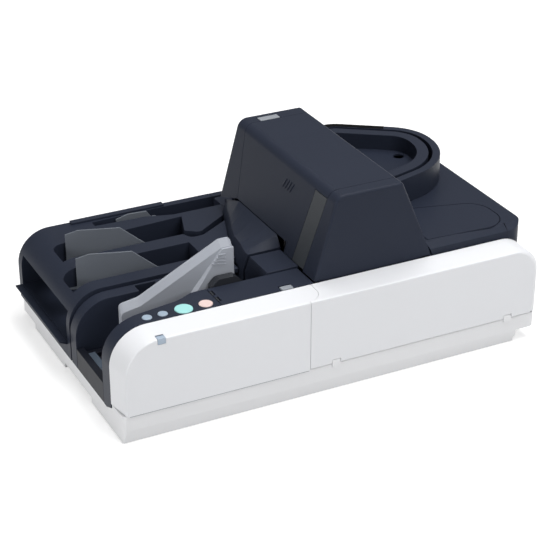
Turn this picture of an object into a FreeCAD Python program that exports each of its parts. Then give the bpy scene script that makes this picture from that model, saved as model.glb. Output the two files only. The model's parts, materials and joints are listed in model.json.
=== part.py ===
"""Desktop cheque scanner with a feed lane, a tall scanning head, a U-turn track and three pockets.

Millimetres. Every piece is drawn from the front left corner of the machine on the table:
X runs along the length, Y to the back, Z up. The placements move that corner so that
the origin is at the centre of the footprint.
"""
import FreeCAD, Part
import math
import os
import re
import Sketcher

# Driving sizes
SIZES = {
    # Whole machine
    "machine_length": 545,
    "machine_depth": 344,
    "base_height": 36,
    "cover_height": 92,
    "wall": 3,
    "seam_gap": 0.5,
    "running_gap": 0.6,
    "pin_clearance": 0.05,
    "overrun": 5,
    # Heights of the upper surfaces, from the top of the white front
    "stacker_drop": 16,
    "lane_wall_drop": 19,
    "deck_rise": 15,
    "rim_rise": 34,
    "head_rise": 88,
    # Base tray, its foot rails and its raised right end
    "base_inset": 2,
    "base_end_inset": 1,
    "base_corner": 6,
    "base_underside": 7,
    "base_nose_length": 26,
    "base_nose_underside": 17,
    "base_front_lean": 3,
    "side_skirt_drop": 11,
    "skirt_corner_depth": 14,
    "skirt_corner_rise": 6,
    "rail_front_depth": 100,
    "rail_rear_start": 190,
    "rail_rear_depth": 107,
    "rail_side_inset": 1,
    "foot_pad_height": 1,
    "foot_pad_radius": 9,
    "boss_radius": 6,
    "screw_radius": 1.5,
    "screw_head_radius": 3.5,
    "screw_head_height": 1.2,
    "boss_inset": 24,
    # Chassis plate
    "chassis_thickness": 2,
    "chassis_drop": 1,
    "chassis_gap": 1,
    # White front covers
    "front_depth": 35,
    "front_crown": 2.4,
    "front_left_inset": 5.5,
    "front_left_corner": 42,
    "front_right_inset": 6,
    "front_right_turn": 6,
    "front_right_corner": 32,
    "front_seam": 232.6,
    "front_seam_bulge": 17.5,
    "crease_radius": 2.5,
    "front_hinge_radius": 3,
    "front_knuckle_start": 262,
    "front_knuckle_pitch": 236,
    "knuckle_width": 10,
    "hinge_pin_radius": 1,
    "hinge_pin_reach": 6,
    # Status window on the crease
    "window_start": 44.8,
    "window_width": 9.4,
    "window_depth": 8.5,
    "window_height": 7,
    "window_proud": 0.3,
    # Operation panel
    "panel_post_depth": 22,
    "panel_end": 137.5,
    "panel_wide_depth": 43,
    "panel_bend": 98,
    "button_line": 11.5,
    "small_button_first": 51.8,
    "small_button_second": 70.8,
    "start_button_place": 96.2,
    "stop_button_place": 123.3,
    "small_button_radius": 5.8,
    "start_button_radius": 10.6,
    "stop_button_radius": 8.2,
    "button_height": 6,
    "button_proud": 1,
    "button_travel": 1.5,
    "button_gap": 0.3,
    "button_stem_radius": 2,
    "button_stem_length": 4,
    "board_thickness": 1.6,
    # Roller cover beside the panel, its latch and the feeder frame below it
    "roller_cover_end": 254.7,
    "roller_cover_depth": 43.5,
    "roller_cover_hinge_radius": 2,
    "roller_cover_rim": 8,
    "roller_knuckle_start": 46,
    "roller_knuckle_pitch": 16,
    "latch_width": 14.5,
    "latch_depth": 11,
    "latch_height": 4,
    "latch_inset": 26,
    "feeder_frame_drop": 34,
    "hump_start": 146,
    "hump_width": 38,
    "hump_depth": 11,
    "hump_rise": 8,
    # Feed lane
    "lane_back": 142,
    "lane_wall_depth": 18,
    "lane_wall_end": 209,
    "lane_corner": 45,
    "lane_floor_top": 46,
    "sill_width": 9,
    "sill_rise": 6,
    "lane_well_width": 30,
    "lane_well_depth": 6,
    "guide_bar_width": 9,
    "guide_bar_gap": 1,
    "wall_notch_start": 81,
    "wall_notch_width": 26,
    "wall_notch_depth": 72,
    # Feed press arm
    "arm_front": 95,
    "arm_thickness": 9,
    "arm_left": 40,
    "arm_length": 140,
    "arm_tip_rise": 47,
    "arm_knee": 24,
    "arm_knee_drop": 4,
    "arm_tip_width": 15,
    "arm_bevel": 5,
    "arm_chamfer": 8,
    "arm_chamfer_depth": 6,
    "arm_foot_gap": 1,
    "arm_pivot_place": 48,
    "arm_pin_radius": 2.5,
    "grip_depth": 4,
    "grip_height": 47,
    "grip_width": 46,
    "ridge_height": 1,
    "ridge_width": 2,
    # Stacker with three pockets
    "stacker_front": 163,
    "stacker_corner": 42,
    "pocket_floor_top": 48,
    "exit_height": 38,
    "exit_front": 173,
    "exit_back": 332,
    "front_pocket_start": 15,
    "front_pocket_end": 182,
    "front_pocket_near": 184,
    "pocket_depth": 42,
    "middle_pocket_start": 27,
    "middle_pocket_near": 250,
    "rear_pocket_start": 95,
    "rear_pocket_near": 320,
    "rear_pocket_far": 331,
    "track_mouth_far": 333.5,
    "entry_slot_width": 8,
    "back_bar_start": 70,
    "back_bar_end": 195,
    "back_bar_rise": 2.5,
    "back_bar_depth": 9,
    "ledge_overhang": 10,
    "ledge_thickness": 3,
    # Pocket press plates
    "plate_length": 112,
    "plate_thickness": 2,
    "plate_rise": 18,
    "plate_slant": 30,
    "plate_nick": 16,
    "plate_nick_height": 5,
    "plate_swing_depth": 34,
    "plate_floor_gap": 1,
    "plate_pin_radius": 1.5,
    "plate_barrel_radius": 3,
    "rear_plate_length": 50,
    "rear_plate_rise": 4,
    "rear_plate_swing_depth": 5,
    "front_plate_pivot": 140,
    "middle_plate_pivot": 151,
    "rear_plate_pivot": 176,
    "plate_pivot_inset": 4.5,
    # Entrance platform and block
    "platform_left": 210,
    "platform_lean": 6.6,
    "platform_rise": 2,
    "track_line": 129,
    "track_slot": 4.6,
    "block_ramp": 10,
    # Head
    "head_front": 37,
    "head_left": 260.2,
    "head_left_slope_share": 0.271,
    "head_right": 407.7,
    "head_right_slope_share": 0.42,
    "head_left_corner": 14,
    "head_right_corner": 5,
    "head_front_edge": 3.5,
    "head_seam": 54.5,
    "trim_front_foot": 67,
    "trim_width": 29,
    "trim_top_drop": 10,
    "rear_seam_foot": 252,
    "rear_seam_top": 275,
    "head_back": 297,
    "main_hinge_radius": 4,
    "main_knuckle_start": 78,
    "main_knuckle_pitch": 140,
    "rear_hinge_radius": 4,
    "rear_knuckle_start": 280,
    "rear_knuckle_pitch": 90,
    "head_latch_start": 305,
    "head_latch_width": 27,
    "head_latch_depth": 12,
    "head_latch_height": 5,
    "grip_rib_length": 26,
    "grip_rib_width": 2,
    "grip_rib_pitch": 6,
    "grip_rib_height": 0.8,
    # Right deck and its lid
    "deck_left": 409.6,
    "deck_wall": 6,
    "hinge_shelf": 12,
    "deck_corner": 20,
    "deck_back_corner": 6,
    "shoulder_depth": 9,
    "shoulder_height": 7,
    "lid_left": 414,
    "lid_front": 49,
    "lid_right": 526,
    "lid_nose_rise": 66,
    "lid_back": 138,
    "lid_front_corner": 28,
    "lid_back_corner": 30,
    "lid_thickness": 3,
    "lid_gap": 1,
    "lid_ledge": 6,
    "lid_hinge_radius": 2,
    "lid_knuckle_start": 66,
    "lid_knuckle_pitch": 42,
    # U-turn track
    "turn_left": 413,
    "turn_front": 139,
    "turn_slope_share": 0.286,
    "turn_nose": 534,
    "turn_nose_front_radius": 95,
    "turn_nose_back": 280,
    "turn_nose_back_radius": 61,
    "turn_back_reach": 93.3,
    "turn_back_radius": 40,
    "rim_width": 10,
    "turn_slot": 5,
    "inner_rim_width": 15,
    "liner": 3,
    "pit_drop": 21,
    "pit_hole_radius": 7,
    "pit_hole_inset": 42,
    "pit_hole_place": 252,
    # Rear track cover behind the head
    "rear_cover_left": 262.6,
    # Rollers, scanning modules and drive
    "drive_roller_radius": 12,
    "pinch_roller_radius": 8,
    "roller_gap": 0.5,
    "roller_band_height": 18,
    "roller_band_first": 52,
    "roller_band_pitch": 58,
    "shaft_radius": 3,
    "shaft_height": 108,
    "entry_roller_place": 24,
    "exit_roller_place": 124,
    "pulley_radius": 6,
    "pulley_height": 4.5,
    "belt_gap": 0.3,
    "belt_thickness": 1.2,
    "belt_height": 4,
    "exit_belt_level": 77,
    "entry_belt_level": 84,
    "motor_place": 335,
    "motor_line": 205,
    "motor_radius": 20,
    "motor_height": 39,
    "feed_roller_place": 190,
    "feed_roller_radius": 11,
    "pickup_roller_place": 96,
    "pickup_roller_radius": 8.5,
    "retard_roller_radius": 9,
    "feed_belt_level": 38,
    "feed_shaft_height": 60,
    "roller_window": 2,
    "module_start": 55,
    "module_length": 44,
    "module_depth": 22,
    "module_height": 108,
    "glass_thickness": 1.5,
    "guide_left": 6,
    "guide_right": 134,
    "guide_sheet": 1,
    "guide_height": 112,
    # Boards, sockets and cartridge
    "main_board_left": 60,
    "main_board_front": 60,
    "main_board_length": 130,
    "main_board_depth": 60,
    "standoff_height": 1.5,
    "inlet_place": 300,
    "inlet_width": 28,
    "inlet_height": 20,
    "inlet_depth": 14,
    "port_place": 350,
    "port_width": 13,
    "port_height": 12,
    "port_depth": 12,
    "cartridge_place": 438,
    "cartridge_line": 78,
    "cartridge_length": 46,
    "cartridge_depth": 24,
    "cartridge_height": 62,
}

# Places worked out from the driving sizes
PLACES = {
    "centre_x": "(machine_length - ledge_overhang) / 2",
    "centre_y": "machine_depth / 2",
    "front_top": "base_height + cover_height",
    "stacker_top": "front_top - stacker_drop",
    "lane_wall_top": "front_top - lane_wall_drop",
    "deck_top": "front_top + deck_rise",
    "rim_top": "deck_top + rim_rise",
    "head_top": "deck_top + head_rise",
    "cover_bottom": "base_height + seam_gap",
    "skirt_bottom": "base_height - side_skirt_drop",
    "chassis_top": "base_height - chassis_drop",
    "chassis_bottom": "chassis_top - chassis_thickness",
    "base_floor": "base_underside + wall",
    "nose_floor": "base_nose_underside + wall",
    "base_right": "machine_length - base_end_inset",
    "base_back": "machine_depth - base_inset",
    "nose_start": "base_right - base_nose_length",
    "skirt_line": "wall + seam_gap",
    "strip_front": "front_depth + seam_gap",
    "panel_post_back": "strip_front + panel_post_depth",
    "roller_cover_back": "strip_front + roller_cover_depth",
    "roller_cover_start": "panel_end + running_gap",
    "feeder_floor_top": "front_top - feeder_frame_drop",
    "platform_top": "front_top + platform_rise",
    "block_top": "deck_top",
    "slot_front": "track_line - track_slot / 2",
    "slot_back": "track_line + track_slot / 2",
    "head_bottom": "deck_top + running_gap",
    "head_front_bottom": "platform_top + running_gap",
    "head_skirt_bottom": "front_top + running_gap",
    "rear_hinge_line": "head_back - rear_hinge_radius",
    "rear_hinge_level": "front_top + running_gap + rear_hinge_radius",
    "main_hinge_level": "deck_top + running_gap + main_hinge_radius",
    "front_hinge_level": "cover_bottom + front_hinge_radius",
    "rear_cover_front": "head_back + running_gap",
    "rear_slot_front": "machine_depth - rim_width - turn_slot",
    "rear_slot_back": "machine_depth - rim_width",
    "module_gap": "track_slot / 2 + guide_sheet + seam_gap",
    "track_exit_line":
        "turn_front + (rim_width + turn_slot / 2) * sqrt(1 + turn_slope_share ^ 2)",
    "track_run": "turn_left - head_left",
    "track_rise": "track_exit_line - track_line",
    "track_reach": "sqrt(track_run ^ 2 + track_rise ^ 2)",
    "along_share": "track_run / track_reach",
    "across_share": "track_rise / track_reach",
    "drive_side": "roller_gap / 2 + drive_roller_radius",
    "pinch_side": "0 - roller_gap / 2 - pinch_roller_radius",
    "entry_drive_x": "head_left + entry_roller_place * along_share - drive_side * across_share",
    "entry_drive_y": "track_line + entry_roller_place * across_share + drive_side * along_share",
    "exit_drive_x": "head_left + exit_roller_place * along_share - drive_side * across_share",
    "exit_drive_y": "track_line + exit_roller_place * across_share + drive_side * along_share",
    "entry_pinch_x": "head_left + entry_roller_place * along_share - pinch_side * across_share",
    "entry_pinch_y": "track_line + entry_roller_place * across_share + pinch_side * along_share",
    "exit_pinch_x": "head_left + exit_roller_place * along_share - pinch_side * across_share",
    "exit_pinch_y": "track_line + exit_roller_place * across_share + pinch_side * along_share",
    "feed_roller_line": "track_line + roller_gap / 2 + feed_roller_radius",
    "retard_roller_line": "track_line - roller_gap / 2 - retard_roller_radius",
    "pickup_roller_line": "lane_back - wall + pickup_roller_radius",
}

doc = FreeCAD.newDocument("cheque_scanner")
sheet = doc.addObject("Spreadsheet::Sheet", "Sizes")


def fill_sheet():
    """Write the driving sizes as numbers and the places as formulas, one row each."""
    for row, (alias, value) in enumerate(SIZES.items(), start=1):
        sheet.set("A%d" % row, alias.replace("_", " "))
        sheet.set("B%d" % row, str(value))
        sheet.setAlias("B%d" % row, alias)
    for row, (alias, formula) in enumerate(PLACES.items(), start=len(SIZES) + 1):
        sheet.set("A%d" % row, alias.replace("_", " "))
        sheet.set("B%d" % row, "=" + formula)
        sheet.setAlias("B%d" % row, alias)
    doc.recompute()


class SheetReader:
    """Gives the value of a cell by its alias."""

    def __getattr__(self, alias):
        return float(sheet.get(alias))


size = SheetReader()
UP = FreeCAD.Vector(0, 0, 1)


def bound(text):
    """Turn plain alias words into an expression on the sheet."""
    return re.sub(r"[a-z][a-z_]+", lambda word: "Sizes." + word.group(), text)


# Outlines
def vector(u, v):
    return FreeCAD.Vector(u, v, 0)


def circle(u, v, radius):
    return Part.Circle(vector(u, v), UP, radius)


def rectangle(left, bottom, right, top):
    return [(left, bottom), (right, bottom), (right, top), (left, top)]


def inset(corners, distances):
    """Move each edge of an anticlockwise outline inwards and trim the corner radii to suit."""
    count = len(corners)
    if not isinstance(distances, (list, tuple)):
        distances = [distances] * count
    lines = []
    for index, corner in enumerate(corners):
        after = corners[(index + 1) % count]
        along = (vector(*after[:2]) - vector(*corner[:2])).normalize()
        inwards = vector(-along.y, along.x)
        lines.append((vector(*corner[:2]) + inwards * distances[index], along))
    moved = []
    for index, corner in enumerate(corners):
        point, along = lines[index]
        before_point, before_along = lines[index - 1]
        crossing = before_along.x * along.y - before_along.y * along.x
        gap = point - before_point
        reach = (gap.x * along.y - gap.y * along.x) / crossing
        place = before_point + before_along * reach
        radius = corner[2] if len(corner) > 2 else 0
        turn = 1 if crossing > 0 else -1
        shift = (distances[index] + distances[index - 1]) / 2 if radius else 0
        moved.append((place.x, place.y, max(radius - turn * shift, 0)))
    return moved


def edges_of(corners):
    """Lines and arcs of a closed outline; a corner's third value is its radius."""
    count = len(corners)
    arrivals, departures, arcs = [], [], []
    for index, corner in enumerate(corners):
        here = vector(*corner[:2])
        radius = corner[2] if len(corner) > 2 else 0
        if radius <= 0:
            arrivals.append(here)
            departures.append(here)
            arcs.append(None)
            continue
        back = (vector(*corners[index - 1][:2]) - here).normalize()
        ahead = (vector(*corners[(index + 1) % count][:2]) - here).normalize()
        half_angle = back.getAngle(ahead) / 2
        reach = radius / math.tan(half_angle)
        middle = here + (back + ahead).normalize() * (radius / math.sin(half_angle) - radius)
        arrivals.append(here + back * reach)
        departures.append(here + ahead * reach)
        ends = [arrivals[-1], departures[-1]]
        if back.x * ahead.y - back.y * ahead.x > 0:
            ends.reverse()
        arcs.append(Part.Arc(ends[0], middle, ends[1]))
    edges = []
    for index in range(count):
        if arcs[index]:
            edges.append(arcs[index])
        end = arrivals[(index + 1) % count]
        if (end - departures[index]).Length > 1e-4:
            edges.append(Part.LineSegment(departures[index], end))
    return edges


def draw(sketch, loop):
    """Add one closed loop to a sketch and join its edges end to end."""
    if isinstance(loop, Part.Circle):
        sketch.addGeometry(loop, False)
        return
    edges = edges_of(loop) if isinstance(loop[0], tuple) else loop
    first = sketch.GeometryCount
    sketch.addGeometry(edges, False)
    shapes = sketch.Geometry[first:]
    joints = []
    for index, shape in enumerate(shapes):
        following = shapes[(index + 1) % len(shapes)]
        best = min(
            ((near, far) for near in (1, 2) for far in (1, 2)),
            key=lambda pair: (end_point(shape, pair[0]) - end_point(following, pair[1])).Length,
        )
        other = first + (index + 1) % len(shapes)
        joints.append(Sketcher.Constraint("Coincident", first + index, best[0], other, best[1]))
    sketch.addConstraint(joints)


def end_point(shape, which):
    return shape.StartPoint if which == 1 else shape.EndPoint


# Features
def new_body(label, x="0", y="0", z="0"):
    """A sub-part drawn from the machine's corner, or from the point x, y, z in it."""
    body = doc.addObject("PartDesign::Body", label)
    body.Label = label
    body.AllowCompound = True
    body.setExpression("Placement.Base.x", bound(x + " - centre_x"))
    body.setExpression("Placement.Base.y", bound(y + " - centre_y"))
    body.setExpression("Placement.Base.z", bound(z))
    return body


def sketch_on(body, plane, start, loops):
    """A sketch on one of the body's own planes, moved along the plane's axis to start."""
    sketch = body.newObject("Sketcher::SketchObject", body.Label + "_outline")
    support = [item for item in body.Origin.OriginFeatures if item.Role == plane + "_Plane"]
    sketch.AttachmentSupport = [(support[0], "")]
    sketch.MapMode = "FlatFace"
    sign = "-" if plane == "XZ" else ""
    sketch.setExpression("AttachmentOffset.Base.z", bound(sign + "(" + start + ")"))
    for loop in loops:
        draw(sketch, loop)
    return sketch


def add(body, plane, start, length, *loops):
    """Pad the loops from start along the plane's positive axis."""
    feature = body.newObject("PartDesign::Pad", body.Label + "_pad")
    feature.Profile = sketch_on(body, plane, start, loops)
    feature.setExpression("Length", bound(length))
    feature.Reversed = plane == "XZ"
    body.Tip = feature
    return feature


def cut(body, plane, start, length, *loops):
    """Pocket the loops from start along the plane's positive axis."""
    feature = body.newObject("PartDesign::Pocket", body.Label + "_pocket")
    feature.Profile = sketch_on(body, plane, start, loops)
    feature.setExpression("Length", bound(length))
    feature.Reversed = plane != "XZ"
    body.Tip = feature
    return feature


def loft(body, plane, sections, kind="PartDesign::AdditiveLoft"):
    """A straight loft through (start, loop) sections, added or cut away."""
    sketches = [sketch_on(body, plane, start, [loop]) for start, loop in sections]
    feature = body.newObject(kind, body.Label + "_loft")
    feature.Profile = sketches[0]
    feature.Sections = sketches[1:]
    feature.Ruled = True
    body.Tip = feature
    return feature


def turned(body, loop):
    """Revolve a loop of radius and height about the body's upright axis."""
    sketch = sketch_on(body, "XZ", "0", [loop])
    feature = body.newObject("PartDesign::Revolution", body.Label + "_turning")
    feature.Profile = sketch
    feature.ReferenceAxis = (sketch, ["V_Axis"])
    feature.Angle = 360
    body.Tip = feature
    return feature


def round_edges(body, radius, chosen):
    """Fillet the edges of the body's tip whose points all pass the test."""
    doc.recompute()
    base = body.Tip
    names = []
    for index, edge in enumerate(base.Shape.Edges, start=1):
        points = edge.discretize(5)
        if all(chosen(point) for point in points):
            names.append("Edge%d" % index)
    feature = body.newObject("PartDesign::Fillet", body.Label + "_rounding")
    feature.Base = (base, names)
    feature.setExpression("Radius", bound(radius))
    body.Tip = feature
    return feature


# Knuckle hinges
HINGE_PINS = []


def knuckle_hinge(cover, support, plane, u, v, radius, bead_from, bead_to, knuckles, foot):
    """A round bead along the cover's edge, with knuckles that stand up from the support.

    The axis is square to the plane at u, v. The pins run through each knuckle into the bead.
    """
    start, pitch = knuckles
    add(cover, plane, bead_from, bead_to + " - (" + bead_from + ")", circle(u, v, radius))
    reach = radius + size.running_gap
    for shift in ("0", pitch):
        notch = "%s + %s - running_gap" % (start, shift)
        cut(cover, plane, notch, "knuckle_width + 2 * running_gap",
            rectangle(u - reach, v - reach, u + reach, v + reach))
        knuckle = rectangle(u - radius, foot, u + radius, v + radius)
        knuckle[2] += (radius,)
        knuckle[3] += (radius,)
        place = "%s + %s" % (start, shift)
        add(support, plane, place, "knuckle_width", knuckle)
        pin_from = "%s + %s - hinge_pin_reach" % (start, shift)
        length = "knuckle_width + 2 * hinge_pin_reach"
        bore = circle(u, v, size.hinge_pin_radius + size.pin_clearance)
        cut(support, plane, place + " - running_gap", "knuckle_width + 2 * running_gap", bore)
        bore_from = pin_from + " - running_gap"
        cut(cover, plane, bore_from, length + " + 2 * running_gap", bore)
        HINGE_PINS.append((plane, pin_from, length, circle(u, v, size.hinge_pin_radius)))


# Base
SOCKETS = (
    ("inlet_place", "inlet_width", "inlet_height", "inlet_depth"),
    ("port_place", "port_width", "port_height", "port_depth"),
)


def foot_rails():
    """Plan outlines of the two rails under the base."""
    left = size.rail_side_inset
    right = size.nose_start - size.base_inset
    front = rectangle(left, size.base_inset, right, size.base_inset + size.rail_front_depth)
    front[0] += (size.base_corner,)
    rear_back = size.rail_rear_start + size.rail_rear_depth
    rear = rectangle(left, size.rail_rear_start, right, rear_back)
    return front, rear


def boss_places():
    """Where the chassis is screwed down."""
    left = size.boss_inset
    right = size.nose_start - size.boss_inset
    front = size.boss_inset
    back = size.base_back - size.boss_inset
    return [(left, front), (right, front), (right, back), (left, back)]


def make_base_tray():
    body = new_body("base_tray")
    side = size.base_inset / 2
    front = size.base_inset
    corner = size.base_corner
    slab = [
        (side, front, corner),
        (size.nose_start, front),
        (size.nose_start, size.base_back),
        (side, size.base_back, corner),
    ]
    add(body, "XY", "base_underside", "base_height - base_underside", slab)
    nose_left = size.nose_start - corner
    nose = [
        (nose_left, front),
        (size.base_right, front, corner),
        (size.base_right, size.base_back, corner),
        (nose_left, size.base_back),
    ]
    add(body, "XY", "base_nose_underside", "base_height - base_nose_underside", nose)
    add(body, "XY", "foot_pad_height", "base_underside - foot_pad_height", *foot_rails())
    # The lower half of the front leans in
    over = size.overrun
    below = [
        (front - over, -over),
        (front + size.base_front_lean, -over),
        (front + size.base_front_lean, size.foot_pad_height),
        (front, size.base_nose_underside),
        (front - over, size.base_nose_underside),
    ]
    cut(body, "YZ", "-overrun", "machine_length + 2 * overrun", below)
    # The tray is open at the top
    wall = size.wall
    inner_left = size.skirt_line + wall
    main = rectangle(inner_left, front + wall, size.nose_start - wall, size.base_back - wall)
    cut(body, "XY", "base_floor", "base_height", main)
    end = rectangle(
        nose_left, front + wall, size.base_right - wall, size.base_back - wall)
    cut(body, "XY", "nose_floor", "base_height", end)
    # The dark side skirts hang outside the left wall
    low = size.skirt_bottom - size.seam_gap
    rebate = [
        (size.front_depth, low + size.skirt_corner_rise),
        (size.front_depth + size.skirt_corner_depth, low),
        (size.machine_depth, low),
        (size.machine_depth, size.base_height + over),
        (size.front_depth, size.base_height + over),
    ]
    cut(body, "YZ", "-overrun", "skirt_line + overrun", rebate)
    # Seats for the sockets in the back wall
    gap = size.seam_gap
    low = size.base_floor
    for place, width, height, _ in SOCKETS:
        left = getattr(size, place)
        seat = rectangle(left - gap, low, left + getattr(size, width) + gap,
                         low + getattr(size, height) + gap)
        cut(body, "XZ", "base_back - 2 * wall", "2 * wall + overrun", seat)
    # Bosses under the chassis
    bosses = [circle(x, y, size.boss_radius) for x, y in boss_places()]
    add(body, "XY", "base_underside", "chassis_bottom - base_underside", *bosses)
    bores = [circle(x, y, size.screw_radius + size.pin_clearance) for x, y in boss_places()]
    cut(body, "XY", "base_floor", "base_height", *bores)
    return body


def make_rubber_feet():
    body = new_body("rubber_feet")
    pads = []
    for rail in foot_rails():
        left, front = rail[0][:2]
        right, back = rail[2]
        middle = (front + back) / 2
        for x in (left + size.boss_inset, right - size.boss_inset):
            pads.append(circle(x, middle, size.foot_pad_radius))
    add(body, "XY", "0", "foot_pad_height", *pads)
    return body


def make_chassis_plate():
    body = new_body("chassis_plate")
    left = size.skirt_line + size.wall + size.chassis_gap
    front = size.base_inset + size.wall + size.chassis_gap
    right = size.base_right - size.wall - size.chassis_gap
    back = size.base_back - size.wall - size.chassis_gap
    add(body, "XY", "chassis_bottom", "chassis_thickness", rectangle(left, front, right, back))
    holes = [circle(x, y, size.screw_radius + size.pin_clearance) for x, y in boss_places()]
    cut(body, "XY", "chassis_bottom - overrun", "chassis_thickness + 2 * overrun", *holes)
    return body


def make_chassis_screws():
    body = new_body("chassis_screws")
    shanks = [circle(x, y, size.screw_radius) for x, y in boss_places()]
    add(body, "XY", "base_floor + wall", "chassis_top - base_floor - wall", *shanks)
    heads = [circle(x, y, size.screw_head_radius) for x, y in boss_places()]
    add(body, "XY", "chassis_top", "screw_head_height", *heads)
    return body


# White front
def crease_sections(outline, inset_by, edge):
    """Sections of a white cover from the front face back; the crease round it is eased.

    The outline function takes a share of the way back over the bevelled top and a distance
    inwards; inset_by is the thickness already inside and edge lengthens the foot.
    """
    radius = size.crease_radius
    turn = size.front_right_turn
    depth = size.front_depth
    eased = radius * (1 - math.sqrt(0.5))
    if inset_by:
        return [("wall", outline(0, inset_by, edge)),
                ("front_right_turn", outline(turn / depth, inset_by, edge)),
                ("front_depth", outline(1, inset_by, edge))]
    return [
        ("0", outline(0, radius, edge)),
        ("crease_radius * (1 - 0.5 ^ 0.5)", outline(eased / depth, eased, edge)),
        ("crease_radius", outline(radius / depth, 0, edge)),
        ("front_right_turn", outline(turn / depth, 0, edge)),
        ("front_depth", outline(1, 0, edge)),
    ]


def front_left_outline(share, by, edge):
    """Front view of the left cover at a share of the depth, inset by a distance."""
    left = size.front_left_inset * (1 - share) + by
    top = size.front_top - size.front_crown * (1 - share) - by
    corner = size.front_left_corner + size.wall * share - by
    right = size.front_seam + 2 * size.front_seam_bulge
    bottom = size.cover_bottom - edge
    return [(left, bottom), (right, bottom), (right, top), (left, top, corner)]


def front_right_outline(share, by, edge):
    """Front view of the right cover; its end turns back quickly, then runs straight."""
    turned_share = min(share * size.front_depth / size.front_right_turn, 1)
    right = size.machine_length - size.front_right_inset * (1 - turned_share) - by
    top = size.front_top - size.front_crown * (1 - share) - by
    corner = size.front_right_corner + size.wall * share - by
    left = size.front_seam - size.front_seam_bulge
    bottom = size.front_hinge_level - edge
    return [(left, bottom), (right, bottom), (right, top, corner), (left, top)]


def seam_region(side, near, far):
    """Plan of what lies beyond the curved seam between the two white covers.

    The seam runs straight back through the front wall, then bulges to the right
    in a quarter round on the top.
    """
    seam = size.front_seam
    bulge = size.front_seam_bulge
    over = size.overrun
    return [
        (side, -over),
        (seam + near, -over),
        (seam + near, size.wall),
        (seam + bulge + near, size.wall, bulge),
        (seam + bulge + near, far),
        (side, far),
    ]


def make_front_cover_left():
    body = new_body("front_cover_left")
    over = size.overrun
    wall = size.wall
    loft(body, "XZ", crease_sections(front_left_outline, 0, 0))
    hollow = crease_sections(front_left_outline, wall, over)
    loft(body, "XZ", hollow, "PartDesign::SubtractiveLoft")
    far_side = size.front_seam + 3 * size.front_seam_bulge
    cut(body, "XY", "0", "front_top + overrun",
        seam_region(far_side, 0, size.front_depth + over))
    # Recess for the status window
    gap = size.window_proud
    left = size.window_start
    recess = rectangle(left - gap, -over, left + size.window_width + gap,
                       size.window_depth + gap)
    cut(body, "XY", "front_top - front_crown - window_height", "window_height + overrun", recess)
    return body


def make_front_cover_right(base):
    body = new_body("front_cover_right")
    left = size.front_seam - size.front_seam_bulge
    over = size.overrun
    wall = size.wall
    loft(body, "XZ", crease_sections(front_right_outline, 0, 0))
    hollow = crease_sections(front_right_outline, wall, over)
    loft(body, "XZ", hollow, "PartDesign::SubtractiveLoft")
    cut(body, "XY", "0", "front_top + overrun",
        seam_region(left - over, size.seam_gap, size.front_depth + over))
    # Foot of the end wall
    radius = size.front_hinge_radius
    foot = rectangle(size.machine_length - wall, size.front_right_turn,
                     size.machine_length, size.front_depth)
    add(body, "XY", "cover_bottom", "front_hinge_radius", foot)
    knuckle_hinge(
        body, base, "YZ", radius, size.front_hinge_level, radius,
        "front_seam + seam_gap", "machine_length - front_right_inset - front_hinge_radius",
        ("front_knuckle_start", "front_knuckle_pitch"), size.chassis_bottom)
    return body


def make_status_window():
    body = new_body("status_window")
    left = size.window_start
    outline = rectangle(left, -size.window_proud / 2, left + size.window_width,
                        size.window_depth)
    add(body, "XY", "front_top - front_crown - window_height + window_proud",
        "window_height + window_proud", outline)
    return body


# Operation panel
BUTTONS = (
    ("small_button_left", "small_button_first", "small_button_radius"),
    ("small_button_right", "small_button_second", "small_button_radius"),
    ("start_button", "start_button_place", "start_button_radius"),
    ("stop_button", "stop_button_place", "stop_button_radius"),
)


def make_operation_panel():
    body = new_body("operation_panel")
    front = size.strip_front
    post_back = size.panel_post_back
    wide_back = front + size.panel_wide_depth
    end = size.panel_end
    bend = size.panel_bend
    step = wide_back - post_back
    over = size.overrun
    corner = size.lane_corner
    profile = [
        (0, size.skirt_bottom),
        (end, size.skirt_bottom),
        (end, size.front_top),
        (0, size.front_top, corner),
    ]
    add(body, "XZ", "strip_front", "panel_wide_depth", profile)
    behind = [
        (-over, post_back),
        (bend - 3 * step, post_back, 2 * step),
        (bend, post_back + step / 2, 2 * step),
        (bend + step, wide_back, step),
        (bend + 2 * step, wide_back),
        (bend + 2 * step, wide_back + over),
        (-over, wide_back + over),
    ]
    cut(body, "XY", "0", "machine_depth", behind)
    # Hollow behind the left post, open at the bottom
    wall = size.wall
    top = size.front_top - wall
    hollow = [
        (wall, size.skirt_bottom - over),
        (end - wall, size.skirt_bottom - over),
        (end - wall, top),
        (wall, top, corner - wall),
    ]
    cut(body, "XZ", "strip_front + wall", "panel_post_depth - 2 * wall", hollow)
    wide = rectangle(bend + step, size.skirt_bottom - over, end - wall, top)
    cut(body, "XZ", "panel_post_back - 2 * wall", "panel_wide_depth - panel_post_depth", wide)
    # The tray's wall passes below the strip, behind the skirt
    tray = rectangle(size.skirt_line - size.seam_gap, front - over, end + over,
                     wide_back + over)
    cut(body, "XY", "skirt_bottom - overrun", "side_skirt_drop + seam_gap + overrun", tray)
    low = size.skirt_bottom
    heel = [
        (front - over, low - over),
        (front + size.skirt_corner_depth, low - over),
        (front + size.skirt_corner_depth, low),
        (front, low + size.skirt_corner_rise),
        (front - over, low + size.skirt_corner_rise),
    ]
    cut(body, "YZ", "-overrun", "skirt_line + overrun", heel)
    line = front + size.button_line
    wells = [circle(getattr(size, place), line, getattr(size, radius) + size.button_gap)
             for _, place, radius in BUTTONS]
    cut(body, "XY", "front_top - button_height - button_travel", "2 * button_height", *wells)
    return body


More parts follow.
